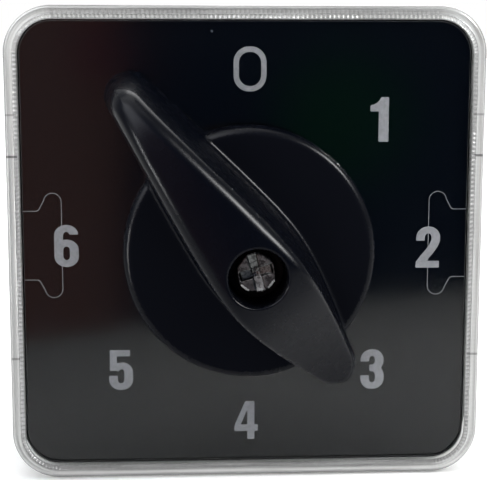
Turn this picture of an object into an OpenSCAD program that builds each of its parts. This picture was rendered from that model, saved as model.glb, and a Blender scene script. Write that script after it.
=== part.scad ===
// Panel rotary selector switch with seven positions, 0 to 6, that joins one of six
// battery studs to a common stud. 0 is off.
// The switch axis is the Y axis, the front faces -Y, and y = 0 is the front face of the
// panel that the switch is fitted to. Lengths are in millimetres, angles in degrees.
// Each sub-part is drawn with the switch axis along Z and the front towards -Z, and
// on_axis() lays it down. Seen from the front, angles then run clockwise.

/* [Front] */
// Width and height of the clear cover
cover_w = 64; // [60:1:72]
// Outer corner radius of the clear cover
cover_r = 6.3; // [4:0.1:9]
// Thickness of the clear cover's side walls
cover_wall = 1.7; // [1.3:0.1:2.4]
// Thickness of the clear cover's front pane
pane_t = 1.2; // [0.8:0.1:2]
// Thickness of the legend card
card_t = 0.3; // [0.2:0.1:0.6]
// Thickness of the front plate
plate_t = 4.7; // [4.2:0.1:7]
// Thickness of the panel gasket
gasket_t = 1.2; // [0.8:0.1:2]

/* [Panel mounting] */
// Distance between the panel holes, across and up
hole_pitch = 48; // [46:0.5:50]
// Diameter of the panel holes
hole_d = 4.5; // [3.5:0.1:5.5]
// Diameter of the round cut-out in the panel
cutout_d = 56; // [56:0.5:58]

/* [Handle] */
// Height of the lever's top above the front of the legend card
handle_h = 26; // [23:0.5:30]
// Radius of the round disc under the lever
disc_r = 16.6; // [14:0.1:20]
// Height of the disc's rim above the legend card
disc_h = 8; // [5:0.1:9]
// Length of the lever's tail from the axis
tail_l = 28.9; // [24:0.1:30]
// Length of the lever's nose from the axis
nose_l = 22.9; // [18:0.1:24]
// Width of the lever's foot at the axis
lever_w = 14; // [12:0.1:18]
// Width of the lever's top at the axis
lever_top_w = 10; // [9:0.1:12]
// Diameter of the screw recess in the lever
recess_d = 7; // [6.6:0.1:8]
// Depth of the screw head below the lever's top
recess_depth = 4.6; // [4.4:0.1:8]
// Angle that the lever leads the detent position by
lever_lead = 7.5; // [-10:0.5:10]

/* [Body] */
// Outer diameter of the body behind the panel
body_d = 54; // [53:0.5:55]
// Depth of the detent housing behind the panel
detent_depth = 16; // [15.8:0.1:20]
// Depth of the contact housing
contact_depth = 18; // [17.8:0.1:22]
// Thickness of the rear cover
rear_t = 5; // [4.5:0.1:7]
// Radius of the circle on which the terminal studs stand
stud_ring_r = 18; // [17:0.1:18.5]
// Diameter of the terminal studs
stud_d = 5; // [4:0.5:6]
// Length of a terminal stud behind its nut
stud_free_l = 10; // [8:0.5:14]

/* [Hidden] */
$fn = 64;
hull_fn = 32;
eps = 0.01;

// Positions on the dial
step = 45;
rest_position = 3;
free_position = 7;
way_positions = [1:6];
bolt_angles = [22.5, 112.5, 202.5, 292.5];

// Front stack, from the panel towards the viewer
gasket_front = -gasket_t;
plate_front = gasket_front - plate_t;
card_front = plate_front - card_t;
pane_front = card_front - pane_t;
cover_gap = 0.1;
plate_w = cover_w - 2 * cover_wall - 2 * cover_gap;
plate_r = cover_r - cover_wall - cover_gap;
gasket_w = cover_w - 0.6;
snap_gap = 0.2;
snap_at = 14;
snap_l = 5.4;
snap_depth = 0.5;
snap_h = 1.2;
snap_setback = 1;
plate_screw_angles = [0, 90, 180, 270];
plate_screw_at = 17;
plate_screw_back = 2.2;
plate_screw_head_r = 2.9;
head_recess_d = 8.6;
head_recess_depth = 2.2;

// Handle levels
handle_back = pane_front - 0.4;
handle_front = card_front - handle_h;
disc_front = card_front - disc_h;
lever_dir = step * rest_position - 90 + lever_lead;
nose_top_h = 11.5;
tail_top_h = 24;
tail_end_h = 18.5;

// Handle screw, seen at the bottom of the recess
screw_head_front = handle_front + recess_depth;
screw_head_t = 1.9;
screw_head_r = 2.45;
screw_r = 1.25;
screw_end = -10;
washer_t = 0.6;
seat = screw_head_front + screw_head_t + washer_t;
web_t = 1.2;
socket_front = seat + web_t;

// Shaft
shaft_r = 4;
drive_w = 6.4;
drive_clear = 0.05;
shaft_front = socket_front + 0.2;
run_clear = 0.04;
rear_journal_r = 3;
retaining_in_r = 2.35;

// Detent housing and its contents
body_r = body_d / 2;
register_r = cutout_d / 2 - 0.5;
register_l = 4;
detent_wall = 3;
cavity_r = body_r - 2.6;
boss_at = body_r - 3.4;
boss_r = 2.9;
tie_r = 1.5;
tie_hole_r = 1.65;
bush_r = 6;
bush_flange_r = 8.5;
bush_flange_t = 1;
thrust_front = detent_wall + bush_flange_t + 0.05;
thrust_t = 0.6;
wheel_front = thrust_front + thrust_t;
wheel_back = 9;
wheel_r = 11;
notch_r = 1.8;
notch_at = wheel_r + 0.2;
spring_t = 0.5;
spring_at = 12.2;
spring_half_l = 16;
spring_nose_r = 1.7;
spring_front = 5;
spring_h = 4;
pin_r = 1.5;
eye_r = 2.1;
pin_back = 9.4;
stop_front = 9.6;
stop_t = 4;
stop_in_r = 16.5;
stop_block_half = 26.9;
stop_arm_r = 15.5;
stop_arm_half = 18;
arm_front = 9.8;
arm_back = 13.4;
insert_r = 2.2;
insert_front = 7.2;

// Contact housing and its contents
contact_front = detent_depth;
contact_wall = 2.4;
cover_front = contact_front + contact_depth;
cover_back = cover_front + rear_t;
rotor_r = 6.6;
rotor_arm_front = contact_front + contact_wall + 0.8;
rotor_back = cover_front - 5.4;
rotor_arm_w = 9.4;
rotor_arm_r = 20.4;
blade_w = 7;
blade_t = 1.2;
blade_front = cover_front - 2.6;
blade_in = 6.2;
touch_gap = 0.04;
ring_mid_r = 8.5;
ring_half_w = 1.9;
inner_spring_at = ring_mid_r + 0.6;
contact_t = 0.8;
tip_r = 3.6;
stud_r = stud_d / 2;
stud_shank_r = stud_r - 0.25;
stud_head_r = 4.2;
stud_head_t = 2;
stud_chamfer = 0.5;
common_head_t = 1.5;
strap_w = 5;
strap_t = 1.2;
washer_r = 5;
nut_af = 8;
nut_t = 4;
nut_front = cover_back + 1;
stud_end = nut_front + nut_t + stud_free_l;
wiper_spring_r = 1.75;
wiper_wire_r = 0.3;
wiper_spring_front = rotor_back - 4.9;
wiper_turns = 5;
rear_bush_r = 4.5;
rear_flange_r = 5.8;
rear_flange_t = 1;
groove_front = cover_back + 0.3;
groove_w = 0.8;

// Turns a sub-part drawn along Z onto the switch axis
module on_axis() {
    rotate([-90, 0, 0])
        children();
}

// Moves a sub-part to the given level along the axis
module at(z) {
    translate([0, 0, z])
        children();
}

// Repeats a sub-part at each listed angle, at a radius from the axis
module around(angles, radius) {
    for (a = angles)
        rotate([0, 0, a])
            translate([radius, 0, 0])
                children();
}

// Repeats a sub-part at the four panel holes
module at_panel_holes() {
    for (sx = [-1, 1], sy = [-1, 1])
        translate([sx * hole_pitch / 2, sy * hole_pitch / 2, 0])
            children();
}

// Angle of a dial position
function dial(position) = step * position - 90;

way_angles = [for (p = way_positions) dial(p)];
all_stud_angles = concat(way_angles, [dial(free_position)]);

// Square with rounded corners, made of true arcs
module rounded_square(w, r) {
    square([w, w - 2 * r], center = true);
    square([w - 2 * r, w], center = true);
    for (sx = [-1, 1], sy = [-1, 1])
        translate([sx * (w / 2 - r), sy * (w / 2 - r)])
            circle(r);
}

// Plate with rounded corners between two levels
module rounded_plate(w, r, front, back) {
    at(front)
        linear_extrude(back - front)
            rounded_square(w, r);
}

// Ring or tube between two levels
module tube(outer_r, inner_r, front, back) {
    difference() {
        at(front)
            cylinder(r = outer_r, h = back - front);
        at(front - 1)
            cylinder(r = inner_r, h = back - front + 2);
    }
}

// Section of the shaft's square drive, made larger all round by a clearance
module drive_section(clear) {
    intersection() {
        square(drive_w + 2 * clear, center = true);
        circle(shaft_r + clear);
    }
}

// Square hole that fits the shaft's drive
module drive_hole(front, back) {
    at(front)
        linear_extrude(back - front)
            drive_section(drive_clear);
}

// Pie slice about the +X direction
module sector(radius, half_angle) {
    polygon(concat([[0, 0]], [for (i = [-8:8]) radius * [cos(i * half_angle / 8),
        sin(i * half_angle / 8)]]));
}

// Cross recess in a screw head, sunk from the given level towards +Z
module cross_recess(level, length, width, depth) {
    for (a = [0, 90])
        rotate([0, 0, a])
            translate([-length / 2, -width / 2, level - eps])
                cube([length, width, depth + eps]);
}

// Snap lugs on the cover's side walls, or the notches for them when larger. Each one goes
// inwards by its depth from the inside of the wall, and outwards by its root into the wall.
module snaps(front, back, depth, length) {
    root = 0.5;
    across = depth + root;
    for (sx = [-1, 1], sy = [-1, 1])
        translate([sx * (plate_w / 2 + cover_gap + root - across / 2) - across / 2,
            sy * snap_at - length / 2, front])
            cube([across, length, back - front]);
}

module clear_cover() {
    hole_r = 10;
    wall_back = gasket_front - snap_gap;
    lug_front = wall_back - snap_setback - snap_h;
    color([0.86, 0.88, 0.87, 0.45])
        on_axis() {
            difference() {
                rounded_plate(cover_w, cover_r, pane_front, wall_back);
                rounded_plate(cover_w - 2 * cover_wall, cover_r - cover_wall, card_front, wall_back + 1);
                at(pane_front - 1)
                    cylinder(r = hole_r, h = pane_t + 2);
            }
            intersection() {
                snaps(lug_front, lug_front + snap_h, snap_depth, snap_l);
                rounded_plate(cover_w - 1, cover_r - 0.5, lug_front - 1, lug_front + snap_h + 1);
            }
        }
}

module legend_card() {
    hole_r = 9;
    color([0.05, 0.05, 0.06])
        on_axis()
            difference() {
                rounded_plate(plate_w, plate_r, card_front, plate_front);
                at(card_front - 1)
                    cylinder(r = hole_r, h = card_t + 2);
            }
}

module front_plate() {
    seal_seat_r = 7;
    shaft_hole_r = shaft_r + 0.4;
    lip_t = 1;
    sink_depth = 1.8;
    lug_front = gasket_front - snap_gap - snap_setback - snap_h;
    color([0.12, 0.12, 0.13])
        on_axis()
            difference() {
                rounded_plate(plate_w, plate_r, plate_front, gasket_front);
                at(plate_front - 1)
                    cylinder(r = shaft_hole_r, h = plate_t + 2);
                at(plate_front - 1)
                    cylinder(r = seal_seat_r, h = plate_t - lip_t + 1);
                at_panel_holes()
                    at(plate_front - 1)
                        cylinder(d = hole_d, h = plate_t + 2);
                at_panel_holes()
                    at(plate_front - 1)
                        cylinder(d = head_recess_d, h = head_recess_depth + 1);
                around(plate_screw_angles, plate_screw_at)
                    at(plate_front - 1)
                        cylinder(r = tie_hole_r, h = plate_t + 2);
                around(plate_screw_angles, plate_screw_at)
                    at(plate_front - eps)
                        cylinder(r1 = plate_screw_head_r + 0.15, r2 = tie_hole_r, h = sink_depth);
                snaps(lug_front - 0.2, gasket_front + 1, snap_depth + 0.3, snap_l + 0.4);
            }
}

module panel_gasket() {
    color([0.16, 0.16, 0.16])
        on_axis()
            difference() {
                rounded_plate(gasket_w, cover_r, gasket_front, 0);
                at(gasket_front - 1)
                    cylinder(d = cutout_d, h = gasket_t + 2);
                at_panel_holes()
                    at(gasket_front - 1)
                        cylinder(d = hole_d, h = gasket_t + 2);
            }
}

module shaft_seal() {
    section_r = 1.42;
    lip_t = 1;
    color([0.1, 0.1, 0.1])
        on_axis()
            at(gasket_front - lip_t - section_r - 0.05)
                rotate_extrude()
                    translate([shaft_r + 0.06 + section_r, 0])
                        circle(section_r, $fn = 24);
}

module plate_screws() {
    head_t = 1.7;
    recess_l = 3.2;
    recess_w = 0.7;
    recess_t = 1.1;
    color("silver")
        on_axis()
            around(plate_screw_angles, plate_screw_at)
                difference() {
                    union() {
                        at(plate_front)
                            cylinder(r1 = plate_screw_head_r, r2 = tie_r, h = head_t);
                        at(plate_front + head_t)
                            cylinder(r = tie_r, h = gasket_front - plate_front - head_t);
                        at(gasket_front)
                            cylinder(r = screw_r, h = plate_screw_back - gasket_front);
                    }
                    cross_recess(plate_front, recess_l, recess_w, recess_t);
                }
}

// Round space inside a housing, less the four bosses of the tie screws
module cavity(front, back) {
    difference() {
        at(front)
            cylinder(r = cavity_r, h = back - front);
        around(bolt_angles, boss_at)
            at(front - 1)
                cylinder(r = boss_r, h = back - front + 2);
    }
}

module detent_housing() {
    pilot_r = 1.3;
    tie_hole_front = 5.5;
    pin_hole_front = detent_wall - 1.5;
    color([0.15, 0.15, 0.16])
        on_axis()
            difference() {
                union() {
                    at(gasket_front)
                        cylinder(r = body_r, h = detent_depth - gasket_front);
                    cylinder(r = register_r, h = register_l);
                }
                cavity(detent_wall, detent_depth + 1);
                at(gasket_front - 1)
                    cylinder(r = bush_r + 0.02, h = detent_wall + gasket_t + 2);
                around(plate_screw_angles, plate_screw_at)
                    at(gasket_front - 1)
                        cylinder(r = pilot_r, h = 1 + plate_screw_back + 0.2 - gasket_front);
                around(bolt_angles, boss_at)
                    at(tie_hole_front)
                        cylinder(r = tie_hole_r, h = detent_depth);
                around(bolt_angles, boss_at)
                    at(insert_front - 0.1)
                        cylinder(r = insert_r + 0.02, h = detent_depth);
                spring_pin_places()
                    at(pin_hole_front)
                        cylinder(r = pin_r + 0.03, h = detent_wall);
            }
}

// Repeats a sub-part at the four spring pins
module spring_pin_places() {
    for (sx = [-1, 1], sy = [-1, 1])
        translate([sx * (spring_at + spring_t / 2), sy * spring_half_l, 0])
            children();
}

module front_bush() {
    color("goldenrod")
        on_axis() {
            tube(bush_r, shaft_r + run_clear, gasket_front, detent_wall);
            tube(bush_flange_r, shaft_r + run_clear, detent_wall, detent_wall + bush_flange_t);
        }
}

module spring_pins() {
    pin_front = detent_wall - 1.4;
    color("silver")
        on_axis()
            spring_pin_places()
                at(pin_front)
                    cylinder(r = pin_r, h = pin_back - pin_front);
}

// Leaf spring on the +X side, with a rounded nose that drops into a notch
module detent_spring() {
    mouth = spring_nose_r - spring_t;
    at(spring_front)
        linear_extrude(spring_h)
            difference() {
                union() {
                    translate([spring_at, -spring_half_l])
                        square([spring_t, 2 * spring_half_l]);
                    translate([notch_at, 0])
                        circle(spring_nose_r);
                    translate([notch_at, -spring_nose_r])
                        square([spring_at + spring_t - notch_at, 2 * spring_nose_r]);
                    for (sy = [-1, 1])
                        translate([spring_at + spring_t / 2, sy * spring_half_l])
                            circle(eye_r);
                }
                translate([notch_at, 0])
                    circle(mouth);
                translate([notch_at, -mouth])
                    square([spring_at + spring_t - notch_at + 1, 2 * mouth]);
                for (sy = [-1, 1])
                    translate([spring_at + spring_t / 2, sy * spring_half_l])
                        circle(pin_r + 0.1);
            }
}

module detent_spring_left() {
    color("lightsteelblue")
        on_axis()
            mirror([1, 0, 0])
                detent_spring();
}

module detent_spring_right() {
    color("lightsteelblue")
        on_axis()
            detent_spring();
}

module stop_ring() {
    clamp_gap = 0.05;
    hub_gap = 2;
    color("dimgray")
        on_axis()
            difference() {
                union() {
                    tube(cavity_r - 0.2, stop_in_r, stop_front, detent_depth - clamp_gap);
                    rotate([0, 0, dial(free_position)])
                        at(stop_front)
                            linear_extrude(stop_t)
                                difference() {
                                    sector(stop_in_r + 1, stop_block_half);
                                    circle(rotor_r + hub_gap);
                                }
                }
                around(bolt_angles, boss_at)
                    at(stop_front - 1)
                        cylinder(r = boss_r + 0.2, h = detent_depth);
            }
}

module threaded_inserts() {
    color("goldenrod")
        on_axis()
            around(bolt_angles, boss_at)
                tube(insert_r, tie_r + 0.02, insert_front, detent_depth - 0.1);
}

module contact_housing() {
    rotor_gap = 0.6;
    color([0.18, 0.18, 0.19])
        on_axis()
            difference() {
                at(contact_front)
                    cylinder(r = body_r, h = contact_depth);
                cavity(contact_front + contact_wall, cover_front + 1);
                at(contact_front - 1)
                    cylinder(r = rotor_r + rotor_gap, h = contact_wall + 2);
                around(bolt_angles, boss_at)
                    at(contact_front - 1)
                        cylinder(r = tie_hole_r, h = contact_depth + 2);
            }
}

module rear_cover() {
    head_hole_r = stud_head_r + 0.1;
    ring_in_r = ring_mid_r - ring_half_w - 0.1;
    ring_out_r = ring_mid_r + ring_half_w + 0.1;
    color([0.18, 0.18, 0.19])
        on_axis()
            difference() {
                at(cover_front)
                    cylinder(r = body_r, h = rear_t);
                at(cover_front - 1)
                    cylinder(r = rear_bush_r + 0.02, h = rear_t + 2);
                around(bolt_angles, boss_at)
                    at(cover_front - 1)
                        cylinder(r = tie_hole_r, h = rear_t + 2);
                around(all_stud_angles, stud_ring_r)
                    at(cover_front - 1)
                        cylinder(r = stud_r + 0.05, h = rear_t + 2);
                around(way_angles, stud_ring_r)
                    at(cover_front - 1)
                        cylinder(r = head_hole_r, h = 1 + contact_t + stud_head_t);
                around([dial(free_position)], stud_ring_r)
                    at(cover_front - 1)
                        cylinder(r = head_hole_r, h = 1 + contact_t + strap_t);
                tube(ring_out_r, ring_in_r, cover_front - 1, cover_front + contact_t);
                rotate([0, 0, dial(free_position)])
                    translate([ring_mid_r, -strap_w / 2 - 0.1, cover_front - 1])
                        cube([stud_ring_r - ring_mid_r, strap_w + 0.2, 1 + contact_t + strap_t]);
            }
}

module rear_bush() {
    color("goldenrod")
        on_axis() {
            tube(rear_bush_r, rear_journal_r + run_clear, cover_front, cover_back);
            tube(rear_flange_r, rear_journal_r + run_clear, cover_front - rear_flange_t, cover_front);
        }
}

module collector() {
    strap_front = cover_front + contact_t;
    color("peru")
        on_axis() {
            tube(ring_mid_r + ring_half_w, ring_mid_r - ring_half_w, cover_front, strap_front);
            rotate([0, 0, dial(free_position)])
                difference() {
                    union() {
                        translate([ring_mid_r, -strap_w / 2, strap_front - 0.2])
                            cube([ring_half_w - 0.2, strap_w, strap_t]);
                        translate([ring_mid_r, -strap_w / 2, strap_front])
                            cube([stud_ring_r - ring_mid_r, strap_w, strap_t]);
                        translate([stud_ring_r, 0, strap_front])
                            cylinder(r = stud_head_r, h = strap_t);
                    }
                    translate([stud_ring_r, 0, strap_front - 1])
                        cylinder(r = stud_r + 0.05, h = strap_t + 2);
                }
        }
}

module contact_tips() {
    color("gainsboro")
        on_axis()
            around(way_angles, stud_ring_r)
                at(cover_front)
                    cylinder(r = tip_r, h = contact_t);
}

// Terminal stud with a flat head. Its shank is at the pitch diameter of the thread as far as
// the back of the nut, and its free end is at the outer diameter of the thread.
module stud(head_front, head_t) {
    at(head_front)
        cylinder(r = stud_head_r, h = head_t);
    at(head_front + head_t)
        cylinder(r = stud_shank_r, h = nut_front + nut_t - head_front - head_t);
    at(nut_front + nut_t)
        cylinder(r = stud_r, h = stud_free_l - stud_chamfer);
    at(stud_end - stud_chamfer)
        cylinder(r1 = stud_r, r2 = stud_r - stud_chamfer, h = stud_chamfer);
}

module terminal_studs() {
    strap_front = cover_front + contact_t;
    color("goldenrod")
        on_axis() {
            around(way_angles, stud_ring_r)
                stud(strap_front, stud_head_t);
            around([dial(free_position)], stud_ring_r)
                stud(strap_front - common_head_t, common_head_t);
        }
}

module stud_washers() {
    color("silver")
        on_axis()
            around(all_stud_angles, stud_ring_r)
                tube(washer_r, stud_r + 0.1, cover_back, nut_front);
}

module stud_nuts() {
    color("goldenrod")
        on_axis()
            around(all_stud_angles, stud_ring_r)
                difference() {
                    at(nut_front)
                        cylinder(d = nut_af / cos(30), h = nut_t, $fn = 6);
                    at(nut_front - 1)
                        cylinder(r = stud_shank_r + 0.03, h = nut_t + 2);
                }
}

module tie_screws() {
    head_r = 2.75;
    head_t = 2.2;
    shank_front = 6;
    recess_l = 3.2;
    recess_w = 0.7;
    recess_t = 1.2;
    color("silver")
        on_axis()
            around(bolt_angles, boss_at)
                difference() {
                    union() {
                        at(cover_back)
                            cylinder(r = head_r, h = head_t);
                        at(shank_front)
                            cylinder(r = tie_r, h = cover_back - shank_front);
                    }
                    mirror([0, 0, 1])
                        cross_recess(-cover_back - head_t, recess_l, recess_w, recess_t);
                }
}

module rear_cap() {
    cap_r = 7.5;
    cap_t = 1.2;
    cap_l = 4;
    color([0.15, 0.15, 0.16])
        on_axis()
            difference() {
                at(cover_back)
                    cylinder(r = cap_r, h = cap_l);
                at(cover_back - 1)
                    cylinder(r = cap_r - cap_t, h = cap_l - cap_t + 1);
            }
}

// Thin disc of the lever's outline, at a place along the lever and a height above the card
module lever_slice(along, radius, height) {
    translate([along, 0, card_front - height])
        cylinder(r = radius, h = 0.1, $fn = hull_fn);
}

// Lever's body: a long tail with an almost level top, and a nose that slopes down to its tip
module lever_body() {
    foot = handle_back - card_front;
    tail_foot_r = 2.6;
    tail_top_r = 2.4;
    tail_end_r = 1.8;
    nose_foot_r = 2.6;
    nose_top_r = 2.2;
    waist_at = -13;
    waist_r = 5.4;
    tail_top_inset = 4.9;
    tail_end_inset = 2.6;
    nose_top_inset = nose_top_r + 2.4;
    hull() {
        lever_slice(0, lever_w / 2, -foot);
        lever_slice(waist_at, waist_r, -foot);
        lever_slice(tail_foot_r - tail_l, tail_foot_r, -foot);
        lever_slice(0, lever_top_w / 2, handle_h);
        lever_slice(tail_top_inset - tail_l, tail_top_r, tail_top_h);
        lever_slice(tail_end_inset - tail_l, tail_end_r, tail_end_h);
    }
    hull() {
        lever_slice(0, lever_w / 2, -foot);
        lever_slice(nose_l - nose_foot_r, nose_foot_r, -foot);
        lever_slice(0, lever_top_w / 2, handle_h);
        lever_slice(nose_l - nose_top_inset, nose_top_r, nose_top_h);
    }
}

module handle() {
    color([0.04, 0.04, 0.05])
        on_axis()
            rotate([0, 0, lever_dir])
                difference() {
                    union() {
                        at(disc_front)
                            cylinder(r = disc_r, h = handle_back - disc_front);
                        lever_body();
                    }
                    at(handle_front - 1)
                        cylinder(d = recess_d, h = seat - handle_front + 1);
                    at(seat - 1)
                        cylinder(r = screw_r + 0.15, h = web_t + 2);
                    rotate([0, 0, -lever_dir])
                        drive_hole(socket_front, handle_back + 1);
                }
}

module handle_screw() {
    recess_turn = -15;
    recess_l = 4.4;
    recess_w = 0.95;
    recess_t = 1.2;
    color("silver")
        on_axis()
            difference() {
                union() {
                    at(screw_head_front)
                        cylinder(r = screw_head_r, h = screw_head_t);
                    at(screw_head_front + screw_head_t)
                        cylinder(r = screw_r, h = screw_end - screw_head_front - screw_head_t);
                }
                rotate([0, 0, recess_turn])
                    cross_recess(screw_head_front, recess_l, recess_w, recess_t);
            }
}

module screw_washer() {
    washer_out_r = 3.1;
    color("silver")
        on_axis()
            tube(washer_out_r, screw_r + 0.1, seat - washer_t, seat);
}

module shaft() {
    round_front = handle_back + 0.8;
    square_back = cover_front - rear_flange_t - 0.1;
    end_l = 2;
    color("slategray")
        on_axis()
            difference() {
                union() {
                    at(shaft_front)
                        linear_extrude(round_front - shaft_front)
                            drive_section(0);
                    at(round_front)
                        cylinder(r = shaft_r, h = thrust_front - round_front);
                    at(thrust_front)
                        linear_extrude(square_back - thrust_front)
                            drive_section(0);
                    at(square_back)
                        cylinder(r = rear_journal_r, h = cover_back + end_l - square_back);
                }
                at(shaft_front - 1)
                    cylinder(r = screw_r + 0.02, h = screw_end - shaft_front + 2);
                tube(rear_journal_r + 1, retaining_in_r - 0.05, groove_front, groove_front + groove_w);
            }
}

module thrust_washer() {
    washer_out_r = rotor_r + 1.4;
    color("goldenrod")
        on_axis()
            tube(washer_out_r, shaft_r + 0.1, thrust_front, wheel_front);
}

module detent_wheel() {
    color("whitesmoke")
        on_axis()
            difference() {
                at(wheel_front)
                    cylinder(r = wheel_r, h = wheel_back - wheel_front);
                around([for (i = [0:7]) i * step], notch_at)
                    at(wheel_front - 1)
                        cylinder(r = notch_r, h = wheel_back);
                drive_hole(wheel_front - 1, wheel_back + 1);
            }
}

module stop_arm() {
    color("silver")
        on_axis()
            difference() {
                union() {
                    at(wheel_back)
                        cylinder(r = rotor_r, h = arm_back - wheel_back);
                    rotate([0, 0, dial(rest_position)])
                        at(arm_front)
                            linear_extrude(arm_back - arm_front)
                                sector(stop_arm_r, stop_arm_half);
                }
                drive_hole(wheel_back - 1, arm_back + 1);
            }
}

module contact_rotor() {
    fork_at = [12, 14.5];
    fork_w = (rotor_arm_w - blade_w) / 2 - 0.2;
    pocket_r = wiper_spring_r + 0.5;
    color("firebrick")
        on_axis()
            rotate([0, 0, dial(rest_position)])
                difference() {
                    union() {
                        at(arm_back)
                            cylinder(r = rotor_r, h = rotor_back - arm_back);
                        translate([0, -rotor_arm_w / 2, rotor_arm_front])
                            cube([rotor_arm_r, rotor_arm_w, rotor_back - rotor_arm_front]);
                        for (sy = [-1, 1])
                            translate([fork_at[0], (sy * (rotor_arm_w - fork_w) - fork_w) / 2,
                                rotor_back - eps])
                                cube([fork_at[1] - fork_at[0], fork_w,
                                    blade_front + blade_t - rotor_back + eps]);
                    }
                    rotate([0, 0, -dial(rest_position)])
                        drive_hole(arm_back - 1, rotor_back + 1);
                    for (r = [inner_spring_at, stud_ring_r])
                        translate([r, 0, wiper_spring_front - 0.2])
                            cylinder(r = pocket_r, h = rotor_back);
                }
}

module wiper_blade() {
    blade_back = blade_front + blade_t;
    inner_touch_r = 1.6;
    outer_touch_r = 2.2;
    color("peru")
        on_axis()
            rotate([0, 0, dial(rest_position)]) {
                translate([blade_in, -blade_w / 2, blade_front])
                    cube([rotor_arm_r - blade_in, blade_w, blade_t]);
                translate([ring_mid_r, 0, blade_back - eps])
                    cylinder(r = inner_touch_r, h = cover_front - touch_gap - blade_back + eps);
                translate([stud_ring_r, 0, blade_back - eps])
                    cylinder(r = outer_touch_r, h = cover_front - touch_gap - blade_back + eps);
            }
}

// Coil of round wire about Z, as a swept tube
module coil(coil_r, wire_r, length, turns) {
    sides = 6;
    per_turn = 12;
    rings = turns * per_turn;
    points = [for (i = [0:rings], k = [0:sides - 1])
        let (a = 360 * i / per_turn, b = 360 * k / sides)
            [(coil_r + wire_r * cos(b)) * cos(a), (coil_r + wire_r * cos(b)) * sin(a),
                wire_r + (length - 2 * wire_r) * i / rings + wire_r * sin(b)]];
    walls = [for (i = [0:rings - 1], k = [0:sides - 1])
        let (n = (k + 1) % sides)
            [i * sides + k, (i + 1) * sides + k, (i + 1) * sides + n, i * sides + n]];
    ends = [[for (k = [0:sides - 1]) k], [for (k = [sides - 1:-1:0]) rings * sides + k]];
    polyhedron(points, concat(walls, ends));
}

module wiper_springs() {
    wiper_spring_l = blade_front - wiper_spring_front - 0.05;
    color("silver")
        on_axis()
            rotate([0, 0, dial(rest_position)])
                for (r = [inner_spring_at, stud_ring_r])
                    translate([r, 0, wiper_spring_front])
                        coil(wiper_spring_r, wiper_wire_r, wiper_spring_l, wiper_turns);
}

module retaining_ring() {
    ring_out_r = 4.6;
    side_gap = 0.05;
    mouth_w = 3.2;
    color("silver")
        on_axis()
            difference() {
                tube(ring_out_r, retaining_in_r, groove_front + side_gap,
                    groove_front + groove_w - side_gap);
                translate([0, -mouth_w / 2, groove_front])
                    cube([ring_out_r + 1, mouth_w, groove_w]);
            }
}

clear_cover();
legend_card();
front_plate();
panel_gasket();
shaft_seal();
plate_screws();
detent_housing();
front_bush();
spring_pins();
detent_spring_left();
detent_spring_right();
stop_ring();
threaded_inserts();
contact_housing();
rear_cover();
rear_bush();
collector();
contact_tips();
terminal_studs();
stud_washers();
stud_nuts();
tie_screws();
rear_cap();
handle();
handle_screw();
screw_washer();
shaft();
thrust_washer();
detent_wheel();
stop_arm();
contact_rotor();
wiper_blade();
wiper_springs();
retaining_ring();
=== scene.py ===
import math

import bpy
import bmesh
import numpy as np
from mathutils import Matrix, Vector


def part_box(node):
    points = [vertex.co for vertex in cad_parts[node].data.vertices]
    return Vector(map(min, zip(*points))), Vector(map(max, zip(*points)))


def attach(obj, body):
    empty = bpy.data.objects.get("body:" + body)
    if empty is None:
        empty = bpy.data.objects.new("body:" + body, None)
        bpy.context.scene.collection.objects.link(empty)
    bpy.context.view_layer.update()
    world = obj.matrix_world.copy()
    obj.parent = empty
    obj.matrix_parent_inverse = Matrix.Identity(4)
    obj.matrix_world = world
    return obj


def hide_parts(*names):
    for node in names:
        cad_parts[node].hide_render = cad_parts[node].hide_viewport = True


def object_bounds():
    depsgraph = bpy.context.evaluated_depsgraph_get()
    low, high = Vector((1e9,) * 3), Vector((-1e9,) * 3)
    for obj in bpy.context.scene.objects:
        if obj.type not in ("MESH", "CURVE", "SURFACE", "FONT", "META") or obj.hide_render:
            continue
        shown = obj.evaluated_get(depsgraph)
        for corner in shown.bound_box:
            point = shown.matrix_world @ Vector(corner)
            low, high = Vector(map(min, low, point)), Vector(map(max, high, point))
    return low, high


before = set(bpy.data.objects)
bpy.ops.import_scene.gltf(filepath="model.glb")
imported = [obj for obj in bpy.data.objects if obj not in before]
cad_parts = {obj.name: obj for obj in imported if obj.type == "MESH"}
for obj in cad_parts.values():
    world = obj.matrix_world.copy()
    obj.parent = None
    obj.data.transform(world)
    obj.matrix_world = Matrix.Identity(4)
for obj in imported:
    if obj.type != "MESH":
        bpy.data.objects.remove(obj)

cad_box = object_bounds()
MM = 0.001
TINY = 1e-9
scene = bpy.context.scene
scene.view_settings.view_transform = "Standard"

# ---- levels, from the CAD
# Heights h are millimetres towards the viewer from the front of the legend card.
def levels(node):
    """Where a CAD node starts and ends along Y, in millimetres."""
    lo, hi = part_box(node)
    return lo.y / MM, hi.y / MM


def width(node):
    lo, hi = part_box(node)
    return (hi.x - lo.x) / MM


CARD_Y = levels("legend_card")[0]
PANE_Y, COVER_BACK_Y = levels("clear_cover")
HANDLE_FOOT = CARD_Y - levels("handle")[1]
SCREW_TOP, SCREW_END = (CARD_Y - y for y in levels("handle_screw"))
SEAT = CARD_Y - levels("screw_washer")[1]
COVER_W, CARD_W = width("clear_cover"), width("legend_card")
COVER_R = 6.3



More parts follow.
